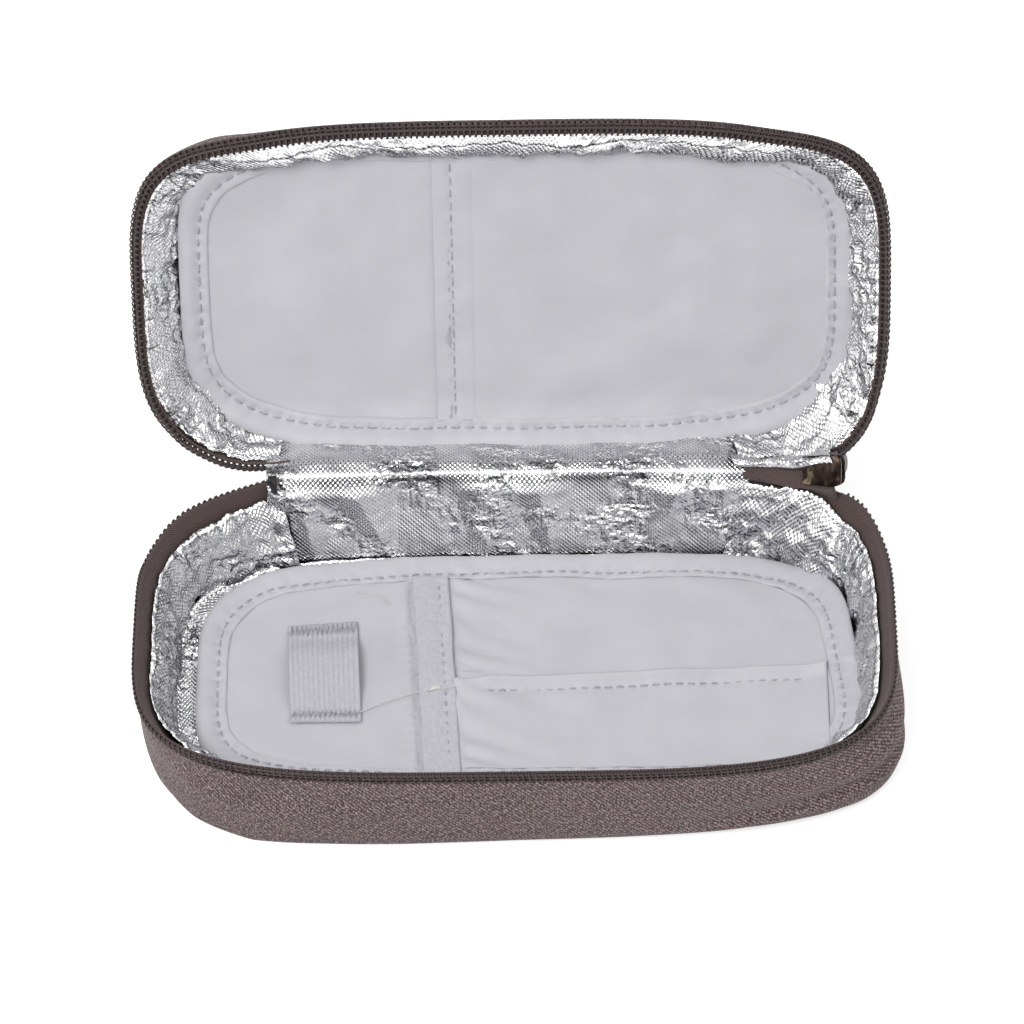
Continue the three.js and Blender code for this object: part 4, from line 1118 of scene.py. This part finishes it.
def cornerFoilFlap():
    # the lid's lining comes forward over the upper web and ends in a folded edge beside the slider
    columns = cornerFoil["columns"]
    xs = np.linspace(cornerFoil["from"], cornerFoil["to"], columns)
    turns = rearTurn(xs)
    inset, z = foilProfile(turns, cornerFoil["ringShare"], lidShell)
    first = placeLid(ringAt(turns, inset + 0.8, z))
    s = np.linspace(*cornerFoil["alongTail"], columns)
    lift = 0.6 + 1.6 * smoothStep(s, 12, 22)
    stand = -2.4 - 2.0 * smoothStep(s, 6, 16)
    last = tailPoint(s, stand, lift)
    over = tailPoint(s, stand - 0.3, tailReach(s, 1) + 1.6)
    inwards = tailPoint(s, stand - 1.0, lift) - last
    grid = []
    shine = []
    for share in np.linspace(0, 1, cornerFoil["rows"]):
        crush = foilCrumple(xs, share * 12, 31.0, cornerFoil["facet"])[:, None]
        grid.append(bowed(first, over, last, share, cornerFoil["foldWeight"])
                    + inwards * math.sin(math.pi * share) * (0.3 + 0.9 * crush))
        # painted highlight along the flap's folded edge; the strip turned under gets painted shade
        shine.append(np.full(columns, 1.1 * bell(share, 1, 0.05)))
    grid.append(grid[-1] + (tailPoint(s, stand + 1.2, lift + 0.5) - last))
    shine.append(np.full(columns, -0.3))
    return clothSheet("corner_foil_flap", grid, foil["thickness"], facing=(0, -0.8, 0.6), shine=shine)


flap = dress(cornerFoilFlap(), "foil")
bendWithTail(flap, 1, lidShell)
dress(tailCoil(), "coil", "zip_tail", ["tail_chain"])
print("stage: tail made")


# Padded organizer in the base and padded panel in the lid

basePad = {
    "label": "base",
    "nodes": ("organizer_backing", "organizer_binding"),
    "halfLength": 88.1,
    "halfWidth": 39.8,
    "corners": (4.8, 3.7, 4.4, 4.4),
    "skew": 0.12,
    "centreX": 3.6,
    "centreY": 0.0,
    "foldSide": 8.1,
    "foldEnds": 8.2,
    "stitchSide": 5.6,
    "stitchEnds": 6.6,
    "pitch": 3.3,
    "seed": 3.0,
    "coverInset": 7.5,
    "place": placeBase,
    "coverPlace": same,
}
lidPad = {
    "label": "lid",
    "nodes": ("lid_panel_backing", "lid_panel_binding"),
    "halfLength": 89.7,
    "halfWidth": 44.2,
    "corners": (4.3, 4.3, 5.0, 4.4),
    "centreX": 1.5,
    "centreY": 3.3,
    "foldSide": 7.8,
    "foldEnds": 7.8,
    "stitchSide": 5.3,
    "stitchEnds": 5.3,
    "pitch": 3.7,
    "seed": 8.0,
    "coverInset": 6.5,
    "place": overLid,
    "coverPlace": overLid,
}
taffeta = {
    "thickness": 0.3,
    "backingThickness": 0.7,
    "backingFill": 0.4,
    "bindingWidth": 14,
    "seamDepth": 0.62,
    "crease": 0.22,
    "seamLevel": 1.75,  # where a seam's thread lies above the pad
}
centreBand = {
    "backX": -22.8,
    "backY": 31.5,
    "frontX": -19.0,
    "frontY": -36.0,
    "width": 9.7,
    "seam": 2.0,
    "pitch": 3.3,
    "rows": 150,
    "flat": (13.7, 68),
    # profile across the band: share of its width, lift
    "profile": (
        (-0.40, 1.55), (-0.485, 1.6), (-0.5, 1.85), (-0.5, 2.3), (-0.49, 2.58), (-0.44, 2.66), (-0.24, 2.6),
        (-0.1, 2.55), (0.04, 2.5), (0.14, 2.42), (0.2, 2.36), (0.25, 2.34), (0.3, 2.36), (0.36, 2.44), (0.42, 2.48),
        (0.47, 2.35), (0.5, 2.0), (0.485, 1.7), (0.42, 1.55),
    ),
}
# profile of the binding from the pad's edge to its fold: share of the width, lift
bindingProfile = (
    (0.10, -0.35), (0.03, -0.1), (-0.015, 0.45), (0.0, 1.1), (0.05, 1.7), (0.12, 2.15), (0.22, 2.45), (0.32, 2.5),
    (0.42, 2.4), (0.5, 2.25), (0.56, 2.12), (0.6, 2.05), (0.64, 2.0), (0.68, 1.98), (0.72, 2.0), (0.76, 2.02),
    (0.8, 2.06), (0.84, 2.1), (0.88, 2.12), (0.92, 2.1), (0.96, 2.0), (0.99, 1.8), (1.0, 1.5), (0.985, 1.2),
    (0.94, 1.05), (0.86, 1.0),
)


def between(value, fromValue, toValue, first, last):
    return first + (last - first) * (value - fromValue) / (toValue - fromValue)


def bandX(y):
    return between(y, centreBand["frontY"], centreBand["backY"], centreBand["frontX"], centreBand["backX"])


def softFolds(x, y, seed, size, height):
    points = joined(x / size, y / size, seed)
    return height * (smoothNoise(points) + 0.5 * smoothNoise(points * 2.1 + 5.0))


def baseLevel(x, y):
    # the pad lies on the foil and climbs the wall at the right; its folds go through all its layers
    soft = 0.5 + softFolds(x, y, 2.2, 21, 0.95)
    away = x - bandX(y)
    inside = smoothStep(38 - np.abs(y), 0, 6)
    valley = -0.9 * bell(away, -9, 4.5) * (0.7 + 0.3 * np.sin(y * 0.12)) - 0.8 * bell(away, -5.5, 0.9)
    tugs = 0.75 * np.sin(y * 0.85 + x * 0.33 + 1.5 * np.sin(y * 0.2)) * np.exp(-np.maximum(away - 6, 0) / 9)
    slant = 0.7 * np.sin((x - 1.3 * y) / 6.5) * bell(x, 14, 20) * smoothStep(y, -2, 10)
    return (6.5 + 4.6 * smoothStep(x, 74, 93) + 0.5 * smoothStep(-x, 70, 86)
            + np.maximum(soft, 0) + (valley + tugs * smoothStep(away, 5, 7) + slant) * inside)


def lidLevel(x, y):
    # the lid's pad climbs the hinge foil along its near edge and the wall at its far corners
    soft = np.maximum(0, 0.7 + softFolds(x, y, 6.4, 26, 1.6))
    crease = 0.5 * bell(y + 26 - 0.9 * (x + 76), 0, 2.2) * bell(x, -72, 9)
    corner = 3.4 * smoothStep(np.abs(x), 55, 84) * smoothStep(-y, 12, 36)
    return 6.3 + crease + corner + 5.0 * smoothStep(y, 34, 50) + 1.0 * smoothStep(np.abs(x), 74, 92) + soft


basePad["level"] = baseLevel
lidPad["level"] = lidLevel


def padRing(turns, inset, lift, pad):
    x, y = planPoints(turns, inset, pad)
    return joined(x, y, pad["level"](x, y) + lift)


def edgeX(pad, y, side):
    # x at y of the outline that the pad's covers reach, under the binding
    turns = np.linspace(-math.pi / 2, math.pi / 2, 400)
    x, ys = planPoints(turns if side > 0 else math.pi - turns, pad["coverInset"], pad)
    return np.interp(y, ys, x)


def seamRelief(distance, along, pitch, depth):
    # valley of a sewn seam, deepest at each needle hole, with small puckers beside it
    hole = (0.5 + 0.5 * np.cos(fullTurn * along / pitch)) ** 3
    valley = -depth * bell(distance, 0, 1.2) * (0.4 + 0.6 * hole)
    pucker = 0.25 * depth * np.cos(fullTurn * along / (2 * pitch) + 0.7) * bell(distance, 0, 3.6)
    return valley + pucker * (1 - bell(distance, 0, 1.0))


def backing(pad):
    turns = ringTurns(240, 0, pad)[0]
    rings = ((0.9, -0.2), (0.3, 0.2), (0.9, 0.7), (2.5, 0.8), (6, 0.9), (12, 0.9), (20, 0.9), (30, 0.9),
             (pad["halfWidth"] - 0.4, 0.9))
    grid = [padRing(turns, inset, lift, pad) for inset, lift in rings]
    return clothSheet(pad["label"] + "_pad_backing", grid, taffeta["backingThickness"], pad["place"], closed=True,
                      capped=True)


def binding(pad):
    turns, along, length = ringTurns(760, 0, pad)
    pitch = length / round(length / pad["pitch"])
    side = smoothStep(np.abs(np.cos(turns)), 0.5, 0.9)
    fold = pad["foldEnds"] + (pad["foldSide"] - pad["foldEnds"]) * side
    sewnAt = pad["stitchEnds"] + (pad["stitchSide"] - pad["stitchEnds"]) * side
    fold = fold + 0.35 * smoothNoise(joined(np.cos(turns) * 7, np.sin(turns) * 7, pad["seed"]))
    grid = []
    for share, lift in bindingProfile:
        inset = share * fold
        relief = seamRelief(inset - sewnAt, along, pitch, taffeta["seamDepth"]) * (lift > 1.3)
        crease = taffeta["crease"] * smoothNoise(joined(along / 5.5, inset / 6, pad["seed"])) * (lift > 1)
        grid.append(padRing(turns, inset, lift + relief + crease, pad))
    piece = clothSheet(pad["label"] + "_pad_binding", grid, taffeta["thickness"], pad["place"], closed=True)
    return piece, padRing(turns, sewnAt, 1.7, pad), pitch, length


stitch = {
    "shares": np.array([-0.5, -0.34, 0, 0.34, 0.5]),
    "lifts": 0.2 + np.array([-0.4, 0.02, 0.1, 0.02, -0.4]),
    "sides": 5,
}


def stitches(name, points, pitch, place, body, thick=0.22, share=0.62):
    # each stitch is a short thread that dips at both ends
    paths = []
    sideways = []
    run = np.concatenate([[0], np.cumsum(np.linalg.norm(np.diff(points, axis=0), axis=1))])
    count = int(round(run[-1] / pitch))
    step = run[-1] / count
    for i in range(count):
        s = (i + 0.5) * step + stitch["shares"] * step * share
        path = np.stack([np.interp(s, run, points[:, k]) for k in range(3)], -1)
        path[:, 2] += stitch["lifts"]
        paths.append(place(path))
        up = place(path + np.array([0, 0, 1.0])) - paths[-1]
        sideways.append(np.cross(np.gradient(paths[-1], axis=0), up))
    dress(tubes(name, paths, thick, stitch["sides"], sideways), "paleThread", body)


def coverSheet(name, pad, leftX, rightX, frontY, backY, lift, relief, rows, columns, thickness=taffeta["thickness"]):
    # sheet laid on the pad between two lines that may slant and curve
    ys = np.linspace(0, 1, rows)[:, None]
    xs = np.linspace(0, 1, columns)[None, :]
    y = frontY + (backY - frontY) * ys + 0 * xs
    x = leftX(y) + (rightX(y) - leftX(y)) * xs
    return clothSheet(name, joined(x, y, pad["level"](x, y) + lift + relief(x, y)), thickness, pad["coverPlace"])


for pad in (basePad, lidPad):
    label = pad["label"]
    backNode, bindNode = pad["nodes"]
    back = dress(backing(pad), "nylon", label, [backNode])
    edge, line, pitch, edgeLength = binding(pad)
    dress(edge, "nylon", label, [bindNode])
    stitches(label + "_binding_stitches", np.concatenate([line, line[:1]]), pitch, pad["place"], label)
print("stage: pads bound")

# Base organizer: sheet at the left, band, two pockets at the right, pen loop

pocket = {
    "leftX": -16.0,
    "leftY": -3.4,
    "rightX": 78.2,
    "rightY": -0.2,
    "frontY": -32.0,
    "backY": 32.0,
    "frontRightX": 82.0,
    "besideBand": 4.3,
    "lift": 2.15,
    "hem": 3.6,  # the hem's seam stands this far below the mouth
    "pitch": 3.1,
    "fold": (7.5, 16, 0.15),  # seed, size and height of the soft folds
}


def mouthY(x):
    return between(x, pocket["leftX"], pocket["rightX"], pocket["leftY"], pocket["rightY"])


def leftRelief(x, y):
    return 0.15 * np.sin(y * 2.1 + 0.5) * bell(x, bandX(y) - 6, 2.5)


def rightRelief(x, y):
    # the back pocket dips under the front one's mouth
    return softFolds(x, y, 4.5, 18, 0.12) - 0.9 * bell(y - mouthY(x), 0.3, 1.1)


def pocketLevel(x, y):
    drop = mouthY(x) - y
    lip = 1.6 * bell(drop, 0, 1.8)
    seam = seamRelief(drop - pocket["hem"], x, pocket["pitch"], 0.35)
    return baseLevel(x, y) + pocket["lift"] + softFolds(x, y, *pocket["fold"]) + lip + seam


def frontPocket():
    across = np.linspace(0, 1, 150)[None, :]
    share = np.linspace(0, 1, 60)[:, None]
    front = pocket["frontY"]
    left = bandX(front + (pocket["leftY"] - front) * share) + pocket["besideBand"]
    x = left + (pocket["frontRightX"] - left) * across
    y = front + (mouthY(x) - front) * share
    lines = list(joined(x, y, pocketLevel(x, y)))
    # the mouth is a fold: it turns over and runs back inside
    mouth = lines[-1]
    for back, down in ((-0.05, 0.35), (0.5, 0.62), (2.2, 0.72), (4.4, 0.75)):
        y = (lines[-1] if back < 0 else mouth)[:, 1] - back
        lines.append(joined(mouth[:, 0], y, pocketLevel(mouth[:, 0], y) - down))
    return clothSheet("organizer_front_pocket", lines, taffeta["thickness"])


def bandGrid():
    rows = centreBand["rows"]
    ys = np.linspace(centreBand["frontY"], centreBand["backY"], rows)
    grid = []
    for across, lift in centreBand["profile"]:
        swell = 0.35 * smoothNoise(joined(ys / 11, across * 2, 9.0))
        x = bandX(ys) + across * (centreBand["width"] + swell * 2)
        distance = across * centreBand["width"] - centreBand["seam"]
        seam = seamRelief(distance, ys, centreBand["pitch"], 0.45) * (lift > 1.9)
        tuck = -0.5 * bell(ys, -6.6, 2.0) * bell(x, bandX(ys) - 2.0, 2.2)
        grid.append(joined(x, ys, baseLevel(bandX(ys), ys) + lift + 0.35 + seam + swell * (lift > 2) + tuck))
    return grid


leftSheet = coverSheet("organizer_left_cover", basePad, lambda y: edgeX(basePad, y, -1), bandX,
                       pocket["frontY"], pocket["backY"], 1.3, leftRelief, 80, 90)
upperPocket = coverSheet("organizer_back_pocket", basePad, bandX, lambda y: edgeX(basePad, y, 1),
                         pocket["frontY"], pocket["backY"], 1.25, rightRelief, 80, 120)
lowerPocket = frontPocket()
for piece, node, width, length, below in (
    (leftSheet, "organizer_left_sheet", 58, 64, "base_pad_backing"),
    (upperPocket, "organizer_upper_pocket", 64, 102, "base_pad_backing"),
    (lowerPocket, "organizer_lower_pocket", 34, 102, upperPocket),
):
    dress(piece, "nylon", "base", [node])

bandPiece = clothSheet("organizer_centre_band", bandGrid(), taffeta["thickness"])
dress(bandPiece, "elastic", "base", ["organizer_band"])
ys = np.linspace(centreBand["frontY"] + 4, centreBand["backY"] - 2, 80)
xs = bandX(ys) + centreBand["seam"]
stitches("band_stitches", joined(xs, ys, baseLevel(xs, ys) + 2.35), centreBand["pitch"], same, "base", share=0.4)
xs = np.linspace(-11.5, 76.0, 120)
ys = mouthY(xs) - pocket["hem"]
hemLine = joined(xs, ys, baseLevel(xs, mouthY(xs)) + taffeta["seamLevel"] + softFolds(xs, ys, *pocket["fold"]))
stitches("pocket_hem_stitches", hemLine, pocket["pitch"], same, "base", thick=0.2)

loop = {
    "backLeft": (-60.8, 15.2),
    "backRight": (-42.2, 16.9),
    "frontLeft": (-59.3, -16.1),
    "frontRight": (-40.6, -16.1),
    "ribs": 14,
    "rise": 2.9,
    "rib": 0.42,
    "lift": 2.2,
    "seamShare": 0.15,
    "thickness": 0.8,
    "flat": (18.8, 31),
    # bartacks: share of the loop's length, half reach
    "tacks": ((0.93, 0.045), (0.07, 0.03)),
    "tackThread": 0.24,
}


def loopPoints(across, along, lift):
    # places on the pen loop at shares of its width and length
    corners = {key: np.array(loop[key]) for key in ("backLeft", "backRight", "frontLeft", "frontRight")}
    front = corners["frontLeft"] + (corners["frontRight"] - corners["frontLeft"]) * across[..., None]
    back = corners["backLeft"] + (corners["backRight"] - corners["backLeft"]) * across[..., None]
    plan = front + (back - front) * along[..., None]
    return joined(plan[..., 0], plan[..., 1], baseLevel(plan[..., 0], plan[..., 1]) + loop["lift"] + lift)


def penLoop():
    across = np.linspace(0, 1, loop["ribs"] * 8 + 1)[None, :]
    along = np.linspace(0, 1, 56)[:, None]
    free = smoothStep(along, loop["seamShare"], 0.42) * (1 - smoothStep(along, 0.6, 1 - loop["seamShare"]))
    rise = loop["rise"] * np.maximum(free, 0) ** 0.7 * (0.9 + 0.1 * across)
    rib = loop["rib"] * np.abs(np.sin(math.pi * loop["ribs"] * across)) ** 0.7
    return clothSheet("pen_loop_elastic", loopPoints(across, along, rise + rib), loop["thickness"])


def zigzag(alongShare, halfReach, count=15):
    across = np.linspace(0.015, 0.985, count * 4 + 1)
    wave = np.abs(((np.arange(len(across)) / 2 + 0.5) % 2) - 1) * 2 - 1
    return loopPoints(across, alongShare + halfReach * wave, 0.55)


loopPiece = dress(penLoop(), "elastic", "base", ["organizer_loop"])
zigzagPiece = tubes("pen_loop_zigzag", [zigzag(*tack) for tack in loop["tacks"]], loop["tackThread"], 5,
                    [np.array((0, 1.0, 0))] * 2)
dress(zigzagPiece, "paleThread", "base")


def looseThread(places, count=24):
    # smooth curve through places on the base's pad: x, y, lift
    return resampled([(x, y, baseLevel(x, y) + lift) for x, y, lift in places], count, 6)


threads = [
    looseThread(((-42, -13.6, 2.4), (-36, -10.5, 2.2), (-30, -8, 2.2), (-24.5, -6.8, 3.0), (-20, -6.6, 3.0),
                 (-16, -6.0, 2.9))),
    looseThread(((-43, 27.2, 2.3), (-38, 26.5, 2.2), (-34, 23.5, 2.2))),
]
tack = [looseThread(((-23.2 + 0.3 * i, -7.3 + 0.35 * i, 2.9), (-21.4, -6.6 + 0.3 * i, 3.3),
                     (-19.4 - 0.2 * i, -6.2 + 0.2 * i, 2.9)), 8) for i in range(4)]
threadPiece = tubes("loose_threads", threads + tack, [0.14] * 2 + [0.2] * 4, 5, [np.array((0, 0, 1.0))] * 6)
dress(threadPiece, "looseThread", "base")
print("stage: organizer made")

# Lid panel: the right sheet's folded edge lies over the left one

divider = {
    "fold": -20.4,
    "seam": -15.6,
    "edge": -10.4,
    "allowance": 3.5,
    "pitch": 3.7,
    "frontY": -34.0,
    "backY": 40.5,
    "strip": (-33.0, 39.0, 1.4),  # front, back and lift of the seam allowance
    "seamEnds": (-33.2, 39.8),
    "foldNoise": (24.5, 26, 0.12),  # seed, size and height of the right sheet's soft folds
}


def lidLeftRelief(x, y):
    return softFolds(x, y, 21.5, 24, 0.12)


def foldedRelief(x, y):
    return softFolds(x, y, *divider["foldNoise"])


def lidRightCover():
    y = np.linspace(divider["frontY"], divider["backY"], 110)[:, None]
    share = np.concatenate([np.linspace(0, 0.12, 40), np.linspace(0.13, 1, 90)])[None, :]
    x = divider["fold"] + (edgeX(lidPad, y, 1) - divider["fold"]) * share
    seam = seamRelief(x - divider["seam"], y, divider["pitch"], 0.6)
    under = 0.25 * (1 - smoothStep(x, divider["edge"] - 0.6, divider["edge"] + 0.6))
    grid = joined(x, y, lidLevel(x, y) + 1.9 + foldedRelief(x, y) + seam + under)
    # folded edge turned under
    turned = [grid[:, 0] + np.array((over, 0, -down))
              for over, down in ((4.0, 0.55), (1.5, 0.52), (0.35, 0.42), (-0.05, 0.18))]
    grid = np.concatenate([np.array(turned).transpose(1, 0, 2), grid], 1)
    return clothSheet("lid_right_cover", grid, taffeta["thickness"], overLid)


def dividerEdge(y):
    return divider["edge"] + 0 * y


lidLeft = coverSheet("lid_left_cover", lidPad, lambda y: edgeX(lidPad, y, -1), dividerEdge,
                     divider["frontY"], divider["backY"], 1.3, lidLeftRelief, 90, 90)
lidRight = lidRightCover()
strip = coverSheet("lid_seam_allowance", lidPad, lambda y: divider["seam"] - divider["allowance"] + 0 * y, dividerEdge,
                   *divider["strip"], foldedRelief, 60, 10, thickness=0.2)
for piece, node, width, length, below in (
    (lidLeft, "lid_left_sheet", 74, 79, "lid_pad_backing"),
    (lidRight, "lid_right_sheet", 108, 79, "lid_pad_backing"),
    (strip, "lid_divider_strip", 10, 75, lidLeft),
):
    dress(piece, "nylon", "lid", [node])
ys = np.linspace(*divider["seamEnds"], 120)
xs = np.full(120, divider["seam"])
seamLine = joined(xs, ys, lidLevel(xs, ys) + taffeta["seamLevel"] + foldedRelief(xs, ys))
stitches("lid_divider_stitches", seamLine, divider["pitch"], overLid, "lid")
print("stage: lid panel made")


# Slider, pull and stops: the solids, merged and their edges eased

easing = {
    "mergeDistance": 0.004,
    "flatAngle": math.radians(2),
    "bevelAngle": math.radians(30),
    "smoothAngle": math.radians(35),
    "segments": 2,
}


def easedCopy(node, name, width, look, body):
    piece = bpy.data.objects.new(name, bpy.data.objects[node].data.copy())
    bpy.context.scene.collection.objects.link(piece)
    work = bmesh.new()
    work.from_mesh(piece.data)
    bmesh.ops.remove_doubles(work, verts=work.verts, dist=easing["mergeDistance"] * mm)
    bmesh.ops.dissolve_limit(work, angle_limit=easing["flatAngle"], verts=work.verts, edges=work.edges)
    bmesh.ops.recalc_face_normals(work, faces=work.faces)
    work.to_mesh(piece.data)
    work.free()
    applyModifier(piece, "BEVEL", width=width * mm, segments=easing["segments"], limit_method="ANGLE",
                  angle_limit=easing["bevelAngle"])
    piece.data.polygons.foreach_set("use_smooth", [True] * len(piece.data.polygons))
    activate(piece)
    bpy.ops.object.shade_smooth_by_angle(angle=easing["smoothAngle"])
    dress(piece, look, body, [node])


easedCopy("slider_body", "slider_casting", 0.22, "slider", "slider")
easedCopy("pull_tab", "pull_casting", 0.28, "slider", "pull")
easedCopy("zip_stop_left", "left_stop_clip", 0.3, "stop", "base")
easedCopy("zip_stop_right", "right_stop_clip", 0.3, "stop", "zip_tail")
print("stage: slider and stops made")


# Floor, light and camera

studio = {
    "floorSize": 6.0,
    "floorColour": "#ededed",
    "floorGlow": 0.6,
    "worldLevel": 0.5,
    "aim": (0, 0, 0.03),
    # name, power, size, place
    "lamps": (("key_lamp", 10.5, 0.6, (-0.5, -0.72, 1.25)), ("fill_lamp", 3.0, 1.1, (0.8, 0.5, 1.2))),
}


def cameraShare(tree):
    # 1 for rays from the camera, mirrors and glass, so that these see the white studio
    path = addNode(tree, "LightPath")
    sight = addNode(tree, "Math", {"operation": "MAXIMUM"},
                    {0: path.outputs["Is Camera Ray"], 1: path.outputs["Is Glossy Ray"]})
    return addNode(tree, "Math", {"operation": "MAXIMUM"}, {0: sight, 1: path.outputs["Is Transmission Ray"]})


def floorPaper():
    # white paper, matt, with a faint fibre relief; it glows to the camera, so that it runs into the studio
    material, tree, place = newMaterial("pale_paper_floor", ownUv=False)
    fibres = addNode(tree, "TexNoise", {"Scale": 900.0}, place)
    relief = addNode(tree, "Bump", {"Strength": 0.05, "Distance": 0.05 * mm}, {"Height": fibres})
    glow = addNode(tree, "Math", {"operation": "MULTIPLY", 1: studio["floorGlow"]}, {0: cameraShare(tree)})
    constants = {"Base Color": linear(studio["floorColour"]), "Roughness": 0.9, "Emission Color": (1, 1, 1, 1)}
    return shaded(material, constants, {"Normal": relief, "Emission Strength": glow})


def studioFloor():
    bpy.ops.object.select_all(action="DESELECT")
    bpy.ops.mesh.primitive_plane_add(size=studio["floorSize"], location=(0, 0, 0))
    floor = bpy.context.object
    floor.name = "studio_floor"
    floor.data.materials.append(floorPaper())


def studioWorld():
    world = bpy.data.worlds.new("white_studio")
    bpy.context.scene.world = world
    world.use_nodes = True
    tree = world.node_tree
    tree.nodes.clear()
    level = addNode(tree, "MapRange", {"To Min": studio["worldLevel"], "To Max": 1.0}, {"Value": cameraShare(tree)})
    background = addNode(tree, "Background", {"Color": (1, 1, 1, 1)}, {"Strength": level})
    addNode(tree, "OutputWorld", links={"Surface": background})


def areaLamp(name, power, size, place):
    light = bpy.data.lights.new(name, "AREA")
    light.energy = power
    light.size = size
    lamp = bpy.data.objects.new(name, light)
    lamp.location = place
    lamp.rotation_euler = (Vector(studio["aim"]) - Vector(place)).to_track_quat("-Z", "Y").to_euler()
    bpy.context.scene.collection.objects.link(lamp)


def addCamera():
    azimuth, elevation, roll = [math.radians(camera[key]) for key in ("azimuth", "elevation", "roll")]
    flat = math.cos(elevation)
    back = Vector((math.sin(azimuth) * flat, -math.cos(azimuth) * flat, math.sin(elevation)))
    right = (-back).cross(Vector((0, 0, 1))).normalized()
    up = right.cross(-back)
    rolledRight = right * math.cos(roll) + up * math.sin(roll)
    rolledUp = up * math.cos(roll) - right * math.sin(roll)
    place = (Vector(camera["target"]) + back * camera["distance"]) * mm
    data = bpy.data.cameras.new("photo_camera")
    data.sensor_width = camera["sensor"]
    data.lens = camera["focalPixels"] * camera["sensor"] / camera["framePixels"]
    data.clip_end = camera["farthest"]
    view = bpy.data.objects.new("photo_camera", data)
    columns = [(*axis, 0) for axis in (rolledRight, rolledUp, back)] + [(*place, 1)]
    view.matrix_world = Matrix(columns).transposed()
    bpy.context.scene.collection.objects.link(view)
    bpy.context.scene.camera = view


studioFloor()
studioWorld()
for lamp in studio["lamps"]:
    areaLamp(*lamp)
addCamera()
bpy.context.scene.view_settings.view_transform = "Standard"

print("stage: studio set")
